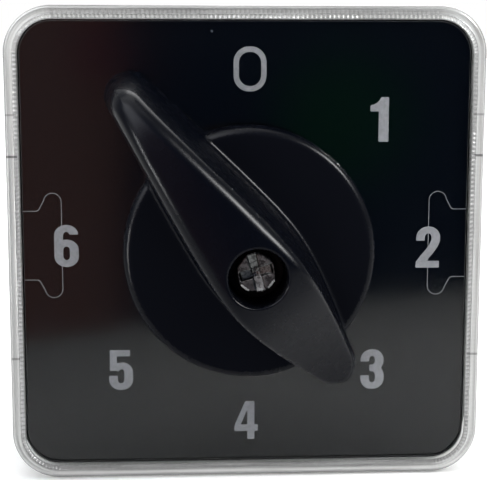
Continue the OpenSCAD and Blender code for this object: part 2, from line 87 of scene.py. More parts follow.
# ---- meshes
def make_object(name, verts, faces, materials, body, slot, replaces=(), crisp=None):
    """A mesh object from vertices in millimetres in the row frame, riding on a body; crisp as for shade."""
    me = bpy.data.meshes.new(name)
    me.from_pydata((np.asarray(verts) * MM).tolist(), [], [list(map(int, f)) for f in faces])
    me.validate()
    me.polygons.foreach_set("use_smooth", [True] * len(me.polygons))
    me.update()
    ob = bpy.data.objects.new(name, me)
    scene.collection.objects.link(ob)
    for m in materials:
        me.materials.append(m)
    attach(ob, body)
    if replaces:
        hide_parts(*replaces)
    if crisp is not None:
        shade(ob, crisp)
    return ob


def gradient(f, p, eps):
    """The slope of f at points p, by central differences."""
    g = np.empty_like(p)
    for a in range(3):
        d = np.zeros(3)
        d[a] = eps
        g[:, a] = (f(p + d) - f(p - d)) / (2 * eps)
    return g


CHUNK = 300000  # grid points worked out at a time
LONGEST_MOVE = 0.45  # of a cell, in one step towards the surface
FLATTEST = 0.05  # least slope squared that a step divides by


def cells_round(edges, a, shape):
    """The four cells round each grid edge along axis a, and which of them are on the grid."""
    for ob, oc in ((0, 0), (-1, 0), (-1, -1), (0, -1)):
        ci = edges.copy()
        ci[:, (a + 1) % 3] += ob
        ci[:, (a + 2) % 3] += oc
        yield ci, ((ci >= 0) & (ci < shape)).all(1)


def surface_net(f, lo, hi, cell, steps=3):
    """Vertices, faces and normals of the surface f = 0, with f below 0 inside."""
    lo, hi = np.asarray(lo, float), np.asarray(hi, float)
    cell = np.ones(3) * cell
    n = np.ceil((hi - lo) / cell).astype(int) + 1
    axes = [lo[a] + cell[a] * np.arange(n[a]) for a in range(3)]
    grid = np.stack(np.meshgrid(*axes, indexing="ij"), -1).reshape(-1, 3)
    v = np.concatenate([f(part) for part in np.array_split(grid, max(1, len(grid) // CHUNK))]).reshape(n)
    inside = v < 0
    cells = n - 1
    total = np.zeros((*cells, 3))
    count = np.zeros(cells, int)
    crossings = []
    for a in range(3):
        first = [slice(None)] * 3
        second = [slice(None)] * 3
        first[a], second[a] = slice(0, -1), slice(1, None)
        v0, v1 = v[tuple(first)], v[tuple(second)]
        cross = inside[tuple(first)] != inside[tuple(second)]
        idx = np.argwhere(cross)
        at = idx.astype(float)
        at[:, a] += v0[cross] / (v0[cross] - v1[cross])
        for ci, ok in cells_round(idx, a, cells):
            np.add.at(total, tuple(ci[ok].T), at[ok])
            np.add.at(count, tuple(ci[ok].T), 1)
        crossings.append((a, idx, inside[tuple(first)][cross]))
    used = count > 0
    number = -np.ones(cells, int)
    number[used] = np.arange(used.sum())
    p = lo + total[used] / count[used][:, None] * cell
    faces = []
    for a, idx, low_inside in crossings:
        corners = []
        whole = np.ones(len(idx), bool)
        for ci, ok in cells_round(idx, a, cells):
            whole &= ok
            corners.append(number[tuple(np.clip(ci, 0, cells - 1).T)])
        quad = np.stack(corners, 1)[whole]
        outward = low_inside[whole]
        quad[~outward] = quad[~outward][:, ::-1]
        faces.append(quad)
    eps = cell.min() * 0.1
    for _ in range(steps):
        g = gradient(f, p, eps)
        move = -(f(p) / np.maximum((g * g).sum(1), FLATTEST))[:, None] * g
        length = np.linalg.norm(move / cell, axis=1)
        move *= np.minimum(1, LONGEST_MOVE / np.maximum(length, TINY))[:, None]
        p = p + move
    normals = gradient(f, p, eps)
    normals /= np.maximum(np.linalg.norm(normals, axis=1), TINY)[:, None]
    return p, np.concatenate(faces), normals


def round_max(a, b, r):
    """Intersection of two solids with the edge between them rounded to radius r."""
    u, v = np.maximum(r + a, 0), np.maximum(r + b, 0)
    return np.minimum(-r, np.maximum(a, b)) + np.hypot(u, v)


def round_min(a, b, r):
    """Union of two solids with a fillet of radius r."""
    u, v = np.maximum(r - a, 0), np.maximum(r - b, 0)
    return np.maximum(r, np.minimum(a, b)) - np.hypot(u, v)


class Spline:
    """Natural cubic spline through points, level with its end slopes outside them."""

    def __init__(self, points):
        x, y = np.array(points, float).T
        n = len(x)
        h = np.diff(x)
        A = np.zeros((n, n))
        r = np.zeros(n)
        A[0, 0] = A[-1, -1] = 1
        for i in range(1, n - 1):
            A[i, i - 1], A[i, i], A[i, i + 1] = h[i - 1], 2 * (h[i - 1] + h[i]), h[i]
            r[i] = 6 * ((y[i + 1] - y[i]) / h[i] - (y[i] - y[i - 1]) / h[i - 1])
        self.x, self.y, self.h, self.m = x, y, h, np.linalg.solve(A, r)

    def __call__(self, t):
        x, y, h, m = self.x, self.y, self.h, self.m
        i = np.clip(np.searchsorted(x, t) - 1, 0, len(x) - 2)
        s = np.clip(t, x[0], x[-1])
        a, b = x[i + 1] - s, s - x[i]
        value = (m[i] * a**3 + m[i + 1] * b**3) / (6 * h[i])
        value = value + (y[i] / h[i] - m[i] * h[i] / 6) * a + (y[i + 1] / h[i] - m[i + 1] * h[i] / 6) * b
        slope = (-m[i] * a**2 + m[i + 1] * b**2) / (2 * h[i]) + (y[i + 1] - y[i]) / h[i]
        slope -= (m[i + 1] - m[i]) * h[i] / 6
        return value + slope * (t - s), slope


def circle(r, y, segments):
    """Points round the switch axis."""
    turns = (2 * math.pi * k / segments for k in range(segments))
    return [(r * math.cos(a), y, r * math.sin(a)) for a in turns]


def rows_to_faces(rows, segments, closed=False):
    """Faces between each row of points and the next, and from the last to the first if closed."""
    faces = []
    for i in range(rows if closed else rows - 1):
        q = (i + 1) % rows
        for k in range(segments):
            n = (k + 1) % segments
            faces.append([i * segments + k, q * segments + k, q * segments + n, i * segments + n])
    return faces


def lathe(profile, segments=32):
    """A profile of (radius, y) points turned about the switch axis, from one point on the axis to another."""
    verts = [(0, profile[0][1], 0)]
    for r, y in profile[1:-1]:
        verts += circle(r, y, segments)
    verts.append((0, profile[-1][1], 0))
    faces = []
    last = len(profile) - 2
    for i in range(last + 1):
        p, q = 1 + (i - 1) * segments, 1 + i * segments
        for k in range(segments):
            n = (k + 1) % segments
            if i == 0:
                faces.append([0, q + k, q + n])
            elif i == last:
                faces.append([p + k, q, p + n])
            else:
                faces.append([p + k, q + k, q + n, p + n])
    return verts, faces


def closed_lathe(profile, segments=48):
    """As lathe, for a ring: the profile's last point joins its first."""
    verts = [point for r, y in profile for point in circle(r, y, segments)]
    return verts, rows_to_faces(len(profile), segments, closed=True)


def moved(part, x, y, z):
    verts, faces = part
    return [(a + x, b + y, c + z) for a, b, c in verts], faces


def turned(part, angle):
    verts, faces = part
    c, s = math.cos(angle), math.sin(angle)
    return [(x * c - z * s, y, x * s + z * c) for x, y, z in verts], faces


def joined(parts):
    verts, faces = [], []
    for v, f in parts:
        base = len(verts)
        verts.extend(v)
        faces.extend([[i + base for i in face] for face in f])
    return verts, faces


def shade(ob, crisp, recalculate=True):
    """Outward faces, smooth but for edges sharper than crisp degrees, or flat throughout if crisp is 0."""
    bm = bmesh.new()
    bm.from_mesh(ob.data)
    if recalculate:
        bmesh.ops.recalc_face_normals(bm, faces=bm.faces)
    for e in bm.edges:
        if len(e.link_faces) == 2:
            e.smooth = e.calc_face_angle(0) < math.radians(crisp)
    for f in bm.faces:
        f.smooth = crisp > 0
    bm.to_mesh(ob.data)
    bm.free()


def rounded_copy(node, width_mm, material, segments=3):
    """A copy of a CAD node's solid with its sharp edges rounded, shown in its place."""
    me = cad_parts[node].data.copy()
    me.name = f"{node}_moulding"
    bm = bmesh.new()
    bm.from_mesh(me)
    bmesh.ops.remove_doubles(bm, verts=bm.verts, dist=2e-7)
    bmesh.ops.dissolve_limit(bm, angle_limit=math.radians(0.6), verts=bm.verts, edges=bm.edges)
    bm.to_mesh(me)
    bm.free()
    me.materials.clear()
    me.materials.append(material)
    ob = bpy.data.objects.new(me.name, me)
    scene.collection.objects.link(ob)
    mod = ob.modifiers.new("edges", "BEVEL")
    mod.width = width_mm * MM
    mod.segments = segments
    mod.limit_method = "ANGLE"
    mod.angle_limit = math.radians(35)
    bpy.context.view_layer.update()
    final = bpy.data.meshes.new_from_object(ob.evaluated_get(bpy.context.evaluated_depsgraph_get()))
    ob.modifiers.clear()
    ob.data = final
    shade(ob, 35, recalculate=False)
    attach(ob, "base")
    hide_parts(node)


# ---- materials
BLACK, WHITE = (0, 0, 0), (1, 1, 1)


def new_material(name):
    """A material with its node tree, its output and the object's coordinates."""
    m = bpy.data.materials.new(name)
    m.use_nodes = True
    nt = m.node_tree
    nt.nodes.clear()
    out = nt.nodes.new("ShaderNodeOutputMaterial")
    return m, nt, out, nt.nodes.new("ShaderNodeTexCoord").outputs["Object"]


def noise(nt, coords, scale, detail=3.0, rough=0.5):
    n = nt.nodes.new("ShaderNodeTexNoise")
    n.inputs["Scale"].default_value = scale
    n.inputs["Detail"].default_value = detail
    n.inputs["Roughness"].default_value = rough
    nt.links.new(coords, n.inputs["Vector"])
    return n.outputs["Fac"]


def ramp(nt, fac, stops):
    r = nt.nodes.new("ShaderNodeValToRGB")
    el = r.color_ramp.elements
    while len(el) < len(stops):
        el.new(0.5)
    for e, (pos, col) in zip(el, stops):
        e.position = pos
        e.color = (*col, 1)
    nt.links.new(fac, r.inputs["Fac"])
    return r.outputs["Color"]


def put(nt, socket, value):
    """Sets a socket to a number or a colour, or links another socket to it."""
    if isinstance(value, (int, float)):
        socket.default_value = value
    elif isinstance(value, tuple):
        socket.default_value = (*value, 1)
    else:
        nt.links.new(value, socket)


def math_node(nt, op, *values, clamp=False):
    n = nt.nodes.new("ShaderNodeMath")
    n.operation = op
    n.use_clamp = clamp
    for socket, value in zip(n.inputs, values):
        put(nt, socket, value)
    return n.outputs[0]


def mix_color(nt, fac, a, b):
    n = nt.nodes.new("ShaderNodeMix")
    n.data_type = "RGBA"
    for number, value in ((0, fac), (6, a), (7, b)):
        put(nt, n.inputs[number], value)
    return n.outputs[2]


def mix_shaders(nt, out, fac, a, b):
    n = nt.nodes.new("ShaderNodeMixShader")
    for socket, value in zip(n.inputs, (fac, a.outputs[0], b.outputs[0])):
        put(nt, socket, value)
    nt.links.new(n.outputs[0], out.inputs["Surface"])


def see_through(nt, colour):
    n = nt.nodes.new("ShaderNodeBsdfTransparent")
    put(nt, n.inputs["Color"], colour)
    return n


def map_range(nt, value, from_min, from_max, to_min=0.0, to_max=1.0, smooth=False):
    n = nt.nodes.new("ShaderNodeMapRange")
    n.interpolation_type = "SMOOTHSTEP" if smooth else "LINEAR"
    numbers = {"From Min": from_min, "From Max": from_max, "To Min": to_min, "To Max": to_max}
    for key, number in numbers.items():
        n.inputs[key].default_value = number
    nt.links.new(value, n.inputs["Value"])
    return n.outputs["Result"]


def dot_product(nt, vector, constant):
    n = nt.nodes.new("ShaderNodeVectorMath")
    n.operation = "DOT_PRODUCT"
    nt.links.new(vector, n.inputs[0])
    n.inputs[1].default_value = constant
    return n.outputs["Value"]


def bump(nt, height, distance):
    """distance is in millimetres."""
    b = nt.nodes.new("ShaderNodeBump")
    b.inputs["Distance"].default_value = distance * MM
    nt.links.new(height, b.inputs["Height"])
    return b.outputs["Normal"]


def principled(nt, out, **values):
    p = nt.nodes.new("ShaderNodeBsdfPrincipled")
    for key, value in values.items():
        put(nt, p.inputs[key.replace("_", " ")], value)
    nt.links.new(p.outputs[0], out.inputs["Surface"])
    return p


def moulded(name, colour, rough, grain=0.25, depth=0.006, tint=0.12, spec=0.5):
    """Injection-moulded plastic: fine grain, slow drift in shade and gloss. grain and depth are in mm."""
    spread = 0.06
    m, nt, out, c = new_material(name)
    slow = noise(nt, c, 120, 2)
    fine = noise(nt, c, 1000 / grain, 2)
    dark = tuple(x * (1 - tint) for x in colour)
    light = tuple(min(1, x * (1 + tint)) for x in colour)
    principled(nt, out, Base_Color=mix_color(nt, slow, dark, light),
               Roughness=math_node(nt, "MULTIPLY_ADD", slow, 2 * spread, rough - spread),
               Normal=bump(nt, fine, depth), Specular_IOR_Level=spec)
    return m


def metal(name, colour, rough, stain=(0.8, 0.8, 0.8), turned=False):
    """Metal with fine scratches, dull patches and a little tarnish."""
    grain, depth = 0.12, 0.004
    m, nt, out, c = new_material(name)
    patches = noise(nt, c, 350, 4, 0.6)
    scale = nt.nodes.new("ShaderNodeMapping")
    scale.inputs["Scale"].default_value = (1, 6, 1) if turned else (1, 1, 1)
    nt.links.new(c, scale.inputs["Vector"])
    scratch = noise(nt, scale.outputs["Vector"], 1000 / grain, 3, 0.7)
    dull = tuple(a * b for a, b in zip(colour, stain))
    dulled = ramp(nt, patches, [(0.35, BLACK), (0.7, WHITE)])
    principled(nt, out, Base_Color=mix_color(nt, dulled, colour, dull), Metallic=1.0,
               Roughness=math_node(nt, "MULTIPLY_ADD", patches, 0.25, rough - 0.1),
               Normal=bump(nt, scratch, depth))
    return m


def handle_material(name, rough, spec):
    m, nt, out, c = new_material(name)
    slow = noise(nt, c, 90, 3)
    peel = noise(nt, c, 900, 2)
    wipe = noise(nt, c, 420, 5, 0.65)
    principled(nt, out, Base_Color=mix_color(nt, slow, (0.0004, 0.0007, 0.0022), (0.0010, 0.0015, 0.0036)),
               Roughness=math_node(nt, "MULTIPLY_ADD", wipe, 0.10, rough),
               Normal=bump(nt, peel, 0.002), Specular_IOR_Level=spec)
    return m


def card_material():
    """Gloss black card with a few specks of dust under the cover."""
    m, nt, out, c = new_material("legend_card_black")
    slow = noise(nt, c, 60, 2)
    col = mix_color(nt, slow, (0.0008, 0.0012, 0.0022), (0.0014, 0.0018, 0.0028))
    vor = nt.nodes.new("ShaderNodeTexVoronoi")
    vor.inputs["Scale"].default_value = 170
    nt.links.new(c, vor.inputs["Vector"])
    speck = ramp(nt, vor.outputs["Distance"], [(0.0, WHITE), (0.022, WHITE), (0.034, BLACK)])
    rare = ramp(nt, noise(nt, c, 75, 1), [(0.55, BLACK), (0.58, WHITE)])
    col = mix_color(nt, math_node(nt, "MULTIPLY", speck, rare), col, (0.10, 0.11, 0.13))
    principled(nt, out, Base_Color=col, Roughness=math_node(nt, "MULTIPLY_ADD", slow, 0.03, 0.085),
               Normal=bump(nt, noise(nt, c, 2600, 2), 0.0005), Specular_IOR_Level=0.325)
    return m


def print_material():
    """Screen-printed grey ink, slightly mottled."""
    m, nt, out, c = new_material("legend_grey_ink")
    mottle = noise(nt, c, 2800, 3, 0.7)
    slow = noise(nt, c, 250, 2)
    col = mix_color(nt, mottle, (0.11, 0.11, 0.122), (0.36, 0.36, 0.385))
    col = mix_color(nt, math_node(nt, "MULTIPLY", slow, 0.3), col, (0.22, 0.225, 0.245))
    principled(nt, out, Base_Color=col, Roughness=0.6, Normal=bump(nt, mottle, 0.004))
    return m


def pane_material():
    """The clear front: mirrors a little, more at a glancing angle, and otherwise shows what is behind it."""
    m, nt, out, c = new_material("cover_clear_pane")
    gloss = nt.nodes.new("ShaderNodeBsdfGlossy")
    haze = noise(nt, c, 300, 4, 0.6)
    nt.links.new(math_node(nt, "MULTIPLY_ADD", haze, 0.03, 0.085), gloss.inputs["Roughness"])
    gloss.inputs["Color"].default_value = (0.95, 0.95, 0.95, 1)
    fres = nt.nodes.new("ShaderNodeFresnel")
    fres.inputs["IOR"].default_value = 1.1
    mix_shaders(nt, out, fres.outputs[0], see_through(nt, (0.97, 0.975, 0.975)), gloss)
    return m


# (inset from the outer edge in mm, brightness) of the bands along the rim: painted highlights and painted
# shade standing in for light through the clear moulding, with other values on the sides, top and bottom
SIDE_LIGHT_BANDS = ((0, 0.08), (0.12, 0.12), (0.24, 0.37), (0.9, 0.42), (1.25, 0.38), (1.4, 0.26), (1.62, 0.24),
              (1.72, 0.06))
TOP_LIGHT_BANDS = ((0, 0.08), (0.12, 0.12), (0.25, 0.22), (0.95, 0.24), (1.08, 0.09), (1.2, 0.42), (1.58, 0.45),
             (1.72, 0.05))
BOTTOM_LIGHT_BANDS = ((0, 0.04), (0.14, 0.08), (0.4, 0.20), (0.6, 0.52), (0.8, 0.44), (0.98, 0.15), (1.45, 0.12),
                (1.7, 0.05))
BANDS_END = 2.0
# (height, half thickness, darkness) of the clip lines across the sides of the rim, and how far in they go
CLIP_LINES = ((12.2, 0.16, 0.85), (17.7, 0.14, 0.45), (-15.2, 0.16, 0.6))
CLIP_DEPTH = 1.6


def rim_material():
    """The clear moulding seen end-on, in painted light: bands of painted highlight and painted shade that
    follow the outline, other tones along top and bottom, and painted highlight and dark streaks at the
    corners.
    """
    m, nt, out, c = new_material("cover_clear_rim_painted_light")

    def calc(op, *values, clamp=False):
        return math_node(nt, op, *values, clamp=clamp)

    sep = nt.nodes.new("ShaderNodeSeparateXYZ")
    nt.links.new(c, sep.inputs[0])
    x, z = sep.outputs["X"], sep.outputs["Z"]
    ax, az = calc("ABSOLUTE", x), calc("ABSOLUTE", z)
    inner = (COVER_W / 2 - COVER_R) * MM
    qx = calc("MAXIMUM", calc("SUBTRACT", ax, inner), 0.0)
    qz = calc("MAXIMUM", calc("SUBTRACT", az, inner), 0.0)
    length = calc("SQRT", calc("ADD", calc("MULTIPLY", qx, qx), calc("MULTIPLY", qz, qz)))
    inset = calc("DIVIDE", calc("SUBTRACT", COVER_R * MM, length), BANDS_END * MM)
    level = calc("DIVIDE", qz, calc("MAXIMUM", length, 1e-5))
    upper = calc("MULTIPLY", level, calc("GREATER_THAN", z, 0.0))
    lower = calc("MULTIPLY", level, calc("LESS_THAN", z, 0.0))
    streak_at = nt.nodes.new("ShaderNodeCombineXYZ")
    for socket, value, stretch in zip(streak_at.inputs, (inset, x, z), (7.0, 90.0, 90.0)):
        nt.links.new(calc("MULTIPLY", value, stretch), socket)
    streak = ramp(nt, noise(nt, streak_at.outputs[0], 1.0, 2), [(0.34, BLACK), (0.66, WHITE)])
    fine = noise(nt, c, 1500, 3, 0.6)
    # painted highlight and painted shade: a brightness for each band, with separate values for the sides, top
    # and bottom as light falls on them
    sides, top, bottom = (ramp(nt, inset, [(at / BANDS_END, (v, v, v * 0.985)) for at, v in bands])
                          for bands in (SIDE_LIGHT_BANDS, TOP_LIGHT_BANDS, BOTTOM_LIGHT_BANDS))
    col = mix_color(nt, calc("POWER", upper, 3.0), sides, top)
    col = mix_color(nt, calc("POWER", lower, 2.0), col, bottom)
    # painted highlights and dark streaks of painted shade along the corner arcs of the rim
    corner = calc("MULTIPLY", calc("MULTIPLY", qx, qz), 1 / (20.0 * MM * MM), clamp=True)
    painted_corner_highlights = mix_color(nt, streak, (0.07, 0.07, 0.068), (0.66, 0.67, 0.66))
    col = mix_color(nt, calc("MULTIPLY_ADD", corner, 0.50, 0.16), col, painted_corner_highlights)
    col = mix_color(nt, calc("MULTIPLY", fine, 0.15), col, (0.62, 0.63, 0.62))
    lines = 0.0
    for at, half, depth in CLIP_LINES:
        gap = calc("ABSOLUTE", calc("SUBTRACT", z, at * MM))
        lines = calc("MAXIMUM", lines, calc("MULTIPLY", calc("LESS_THAN", gap, half * MM), depth))
    side = calc("GREATER_THAN", ax, (COVER_W / 2 - CLIP_DEPTH) * MM)
    col = mix_color(nt, calc("MULTIPLY", lines, side), col, (0.07, 0.07, 0.07))
    principled(nt, out, Base_Color=col, Roughness=calc("MULTIPLY_ADD", fine, 0.12, 0.16),
               Normal=bump(nt, fine, 0.006), Coat_Weight=0.25, Coat_Roughness=0.05)
    return m


def wall_material():
    """The cover's clear side walls: cloudy, with the black plate showing through."""
    m, nt, out, c = new_material("cover_clear_wall")
    cloud = noise(nt, c, 260, 3)
    fine = noise(nt, c, 1500, 3, 0.6)
    col = mix_color(nt, cloud, (0.34, 0.345, 0.335), (0.52, 0.53, 0.52))
    p = principled(nt, out, Base_Color=col, Roughness=math_node(nt, "MULTIPLY_ADD", fine, 0.1, 0.1),
                   Normal=bump(nt, fine, 0.004))
    mix_shaders(nt, out, 0.42, see_through(nt, (0.95, 0.955, 0.95)), p)
    return m


def steel_screw_material():
    """Dull plated steel, pitted and dark in places."""
    m, nt, out, c = new_material("handle_screw_steel")
    pits = noise(nt, c, 2300, 4, 0.7)
    patch = noise(nt, c, 900, 3)
    col = mix_color(nt, patch, (0.07, 0.074, 0.074), (0.25, 0.26, 0.255))
    col = mix_color(nt, ramp(nt, pits, [(0.42, WHITE), (0.52, BLACK)]), col, (0.05, 0.05, 0.05))
    r = math_node(nt, "MULTIPLY_ADD", pits, 0.3, 0.22)
    principled(nt, out, Base_Color=col, Metallic=1.0, Roughness=r, Normal=bump(nt, pits, 0.03))
    return m


HANDLE = handle_material("handle_black_gloss", 0.22, 0.08)
DISC = handle_material("handle_disc_satin", 0.50, 0.03)
CARD = card_material()
INK = print_material()
PANE = pane_material()
RIM = rim_material()
SIDE_WALL = wall_material()
SCREW = steel_screw_material()
# a painted glint: near-white material for two facets of the screw rim, standing in for reflections
SCREW_GLINT = moulded("handle_screw_painted_glint", (0.97, 0.97, 0.96), 0.3, tint=0.02, grain=0.1)
BLACKENED = metal("washer_blackened", (0.012, 0.012, 0.013), 0.5)
PLATE = moulded("front_plate_black", (0.014, 0.014, 0.016), 0.42)
HOUSING = moulded("housing_grey_black", (0.030, 0.031, 0.034), 0.45, grain=0.22, depth=0.010)
DETENT = moulded("detent_housing_black", (0.020, 0.021, 0.023), 0.47, grain=0.22, depth=0.010)
CAP = moulded("cap_black", (0.018, 0.018, 0.020), 0.38, grain=0.22)
RUBBER = moulded("gasket_rubber", (0.012, 0.012, 0.012), 0.72, grain=0.10, depth=0.012, spec=0.3)
ACETAL = moulded("acetal_white", (0.70, 0.70, 0.66), 0.36, tint=0.05)
PHENOLIC = moulded("phenolic_rotor", (0.20, 0.045, 0.028), 0.40, grain=0.18)
ZINC = metal("zinc_plated_steel", (0.62, 0.63, 0.65), 0.30, stain=(0.78, 0.80, 0.84))
SPRING = metal("spring_steel", (0.52, 0.53, 0.56), 0.24)
BRASS = metal("brass_machined", (0.78, 0.57, 0.26), 0.26, stain=(0.80, 0.72, 0.62), turned=True)
COPPER = metal("copper_strip", (0.80, 0.42, 0.26), 0.30, stain=(0.7, 0.66, 0.6))
SILVER = metal("silver_contact", (0.83, 0.82, 0.79), 0.30)

for material, names in (
    (CARD, "legend_card"), (PLATE, "front_plate"), (RUBBER, "panel_gasket shaft_seal"),
    (BRASS, "front_bush rear_bush threaded_inserts thrust_washer terminal_studs stud_nuts"),
    (ZINC, "plate_screws spring_pins stop_ring stop_arm shaft stud_washers tie_screws"),
    (SPRING, "detent_spring_left detent_spring_right retaining_ring wiper_springs"),
    (COPPER, "collector wiper_blade"), (SILVER, "contact_tips"), (ACETAL, "detent_wheel"),
    (PHENOLIC, "contact_rotor"), (BLACKENED, "screw_washer"), (CAP, "rear_cap"), (RIM, "clear_cover"),
    (HANDLE, "handle"), (SCREW, "handle_screw"), (DETENT, "detent_housing"),
    (HOUSING, "contact_housing rear_cover"),
):
    for name in names.split():
        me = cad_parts[name].data
        me.materials.clear()
        me.materials.append(material)

# ---- handle
# along the lever u runs from the tail to the nose, v is across it and h is the height
LEVER_ANGLE = math.radians(52.5)
DISC_R, DISC_H = 16.45, 8.0
TAIL_L, NOSE_L = 28.9, 22.9
DRAFT, TAIL_LEAN, NOSE_LEAN = 0.08, 0.075, 0.24
TAIL_R, NOSE_R, FILLET_R = 2.6, 2.4, 0.6
RECESS_R, BORE_R = 3.5, 1.4
SOCKET_HALF, SOCKET_R, SOCKET_ROOF = 3.25, 4.05, 1.2
HANDLE_CELL = 0.22
foot_width = Spline([
    (-31, 2.25), (-28, 2.95), (-25, 3.45), (-21.7, 3.98), (-18.5, 4.50), (-15, 5.06), (-10, 5.85), (-5, 6.55),
    (-1, 6.95), (2, 6.98), (6, 6.5), (10, 5.65), (14, 4.6), (18, 3.45), (21, 2.65), (24, 2.0)])
top_height = Spline([
    (-32, 14.0), (-29.2, 18.8), (-27.6, 21.2), (-25.6, 22.9), (-23, 24.1), (-19, 24.95), (-14, 25.5),
    (-8, 25.85), (-3, 25.98), (0.5, 25.95), (3.2, 25.4), (5.5, 24.0), (8.5, 21.3), (13.0, 17.0),
    (17.5, 13.2), (20.5, 11.0), (24, 8.6)])


def lever(p):
    u, v, h = p.T
    w, dw = foot_width(u)
    side = (np.abs(v) + DRAFT * (h - HANDLE_FOOT) - w) / np.sqrt(1 + dw**2 + DRAFT**2)
    tail = (-(u + TAIL_L) + TAIL_LEAN * h) / math.sqrt(1 + TAIL_LEAN**2)
    nose = (u - NOSE_L - 0.3 + NOSE_LEAN * h) / math.sqrt(1 + NOSE_LEAN**2)
    t, dt = top_height(u)
    crown = 0.010 * v**2
    top = (h - t + crown) / np.sqrt(1 + dt**2)
    outline = round_max(round_max(side, tail, TAIL_R), nose, NOSE_R)
    # the top edge is softest at the tail and crispest at the nose
    edge = np.clip(1.55 - (u + 4) / 12 * 1.15, 0.4, 1.55)
    edge = edge + np.clip((-u - 19) / 9, 0, 1) * 0.6
    return round_max(outline, top, edge)


def handle_shape(p):
    u, v, h = p.T
    r = np.hypot(u, v)
    disc = round_max(r - DISC_R, h - DISC_H, 1.1)
    body = round_min(lever(p), disc, FILLET_R)
    body = round_max(body, HANDLE_FOOT - h, 0.3)
    body = round_max(body, -np.maximum(r - RECESS_R, SEAT - h), 0.35)
    c, s = math.cos(LEVER_ANGLE), math.sin(LEVER_ANGLE)
    x, z = u * c + v * s, -u * s + v * c
    square = np.maximum(np.abs(x), np.abs(z)) - SOCKET_HALF
    socket = np.maximum(square, np.maximum(r - SOCKET_R, h - (SEAT - SOCKET_ROOF)))
    body = np.maximum(body, -socket)
    return np.maximum(body, -(r - BORE_R))


lever_to_row = np.array([
    [math.cos(LEVER_ANGLE), math.sin(LEVER_ANGLE), 0],
    [0, 0, -1],
    [-math.sin(LEVER_ANGLE), math.cos(LEVER_ANGLE), 0]])
points, faces, normals = surface_net(
    handle_shape, (-30.2, -17.2, HANDLE_FOOT - 0.7), (23.8, 17.2, 26.8), HANDLE_CELL)
points = points @ lever_to_row.T + np.array((0, CARD_Y, 0))
handle = make_object("handle_moulding", points, faces, [HANDLE, DISC], "rotor", "handle_black", ("handle",))
handle.data.normals_split_custom_set_from_vertices((normals @ lever_to_row.T).tolist())
disc_y = (CARD_Y - DISC_H) * MM
on_disc = [1 if abs(q.center.y - disc_y) < 0.04 * MM else 0 for q in handle.data.polygons]
handle.data.polygons.foreach_set("material_index", on_disc)

# ---- handle screw
HEAD_R, HEAD_T, FACET_AT = 2.45, 1.9, 8
SHANK_R, TIP_R = 1.25, 0.9
FACET_R, FACET_LEAN = 2.16, (0.62, 0.78)
SLOT_HALF, SLOT_DEPTH, SLOT_LENGTHS = 0.56, 0.95, (2.4, 2.05)
RECESS_TURN = math.radians(15)


def screw_shape(p):
    x, z, h = p.T
    r = np.hypot(x, z)
    head = round_max(r - HEAD_R, h - SCREW_TOP, 0.25)
    a = np.arctan2(z, x) - math.radians(FACET_AT)
    k = math.pi / 4
    flat = np.cos((a + k / 2) % k - k / 2) * r
    chamfer = (flat - FACET_R) * FACET_LEAN[0] + (h - SCREW_TOP) * FACET_LEAN[1]
    head = np.maximum(head, chamfer)
    head = np.maximum(head, SCREW_TOP - HEAD_T - h)
    c, s = math.cos(RECESS_TURN), math.sin(RECESS_TURN)
    across, along = x * c + z * s, -x * s + z * c
    d = SCREW_TOP - h
    for m, n, length in ((across, along, SLOT_LENGTHS[0]), (along, across, SLOT_LENGTHS[1])):
        slot = np.maximum(np.abs(m) - SLOT_HALF + 0.13 * d, np.abs(n) - length + 0.55 * d)
        slot = np.maximum(slot, d - SLOT_DEPTH + 0.3 * np.abs(n))
        head = round_max(head, -slot, 0.06)
    return head


def to_list(points, faces):
    """A surface net as lists, with its faces turned over for the row frame."""
    return points.tolist(), faces[:, ::-1].tolist()


axis_to_row = np.array([[1.0, 0, 0], [0, 0, -1], [0, 1, 0]])
points, faces, _ = surface_net(
    screw_shape, (-2.7, -2.7, SCREW_TOP - HEAD_T - 0.15), (2.7, 2.7, SCREW_TOP + 0.15), 0.08)
head = to_list(points @ axis_to_row.T + np.array((0, CARD_Y, 0)), faces)
neck_y, end_y = CARD_Y - SCREW_TOP + HEAD_T, CARD_Y - SCREW_END
shank = lathe([(0, neck_y), (SHANK_R, neck_y), (SHANK_R, end_y - 0.4), (TIP_R, end_y), (0, end_y)])
screw = make_object("handle_screw_head", *joined([head, shank]), [SCREW, SCREW_GLINT], "rotor", "screw_steel",
                    ("handle_screw",), crisp=40)
# two facets of the rim get a near-white material: a painted glint
for q in screw.data.polygons:
    at = math.degrees(math.atan2(q.center.z, q.center.x)) - FACET_AT
    outside = math.hypot(q.center.x, q.center.z) > 2.0 * MM
    on_rim = outside and q.center.y < (CARD_Y - SCREW_TOP + 0.45) * MM and -0.97 < q.normal.y < -0.3
    if on_rim and min(abs(at + 45), abs(at + 135)) < 15:
        q.material_index = 1


# ---- numerals
def polyline_distance(x, z, pts, sx=1.0):
    """Distance to a line through points, with x stretched by sx first."""
    d = np.full(x.shape, np.inf)
    pts = np.asarray(pts, float) * (sx, 1)
    x = x * sx
    for (ax, az), (bx, bz) in zip(pts, pts[1:]):
        ex, ez = bx - ax, bz - az
        t = np.clip(((x - ax) * ex + (z - az) * ez) / (ex * ex + ez * ez), 0, 1)
        d = np.minimum(d, np.hypot(x - ax - t * ex, z - az - t * ez))
    return d


def polygon_distance(x, z, pts):
    """Distance to a closed outline, below 0 inside it."""
    d = polyline_distance(x, z, list(pts) + [pts[0]])
    inside = np.zeros(x.shape, bool)
    n = len(pts)
    for i in range(n):
        (ax, az), (bx, bz) = pts[i], pts[(i + 1) % n]
        if az != bz:
            hit = ((az > z) != (bz > z)) & (x < (bx - ax) * (z - az) / (bz - az) + ax)
            inside ^= hit
    return np.where(inside, -d, d)


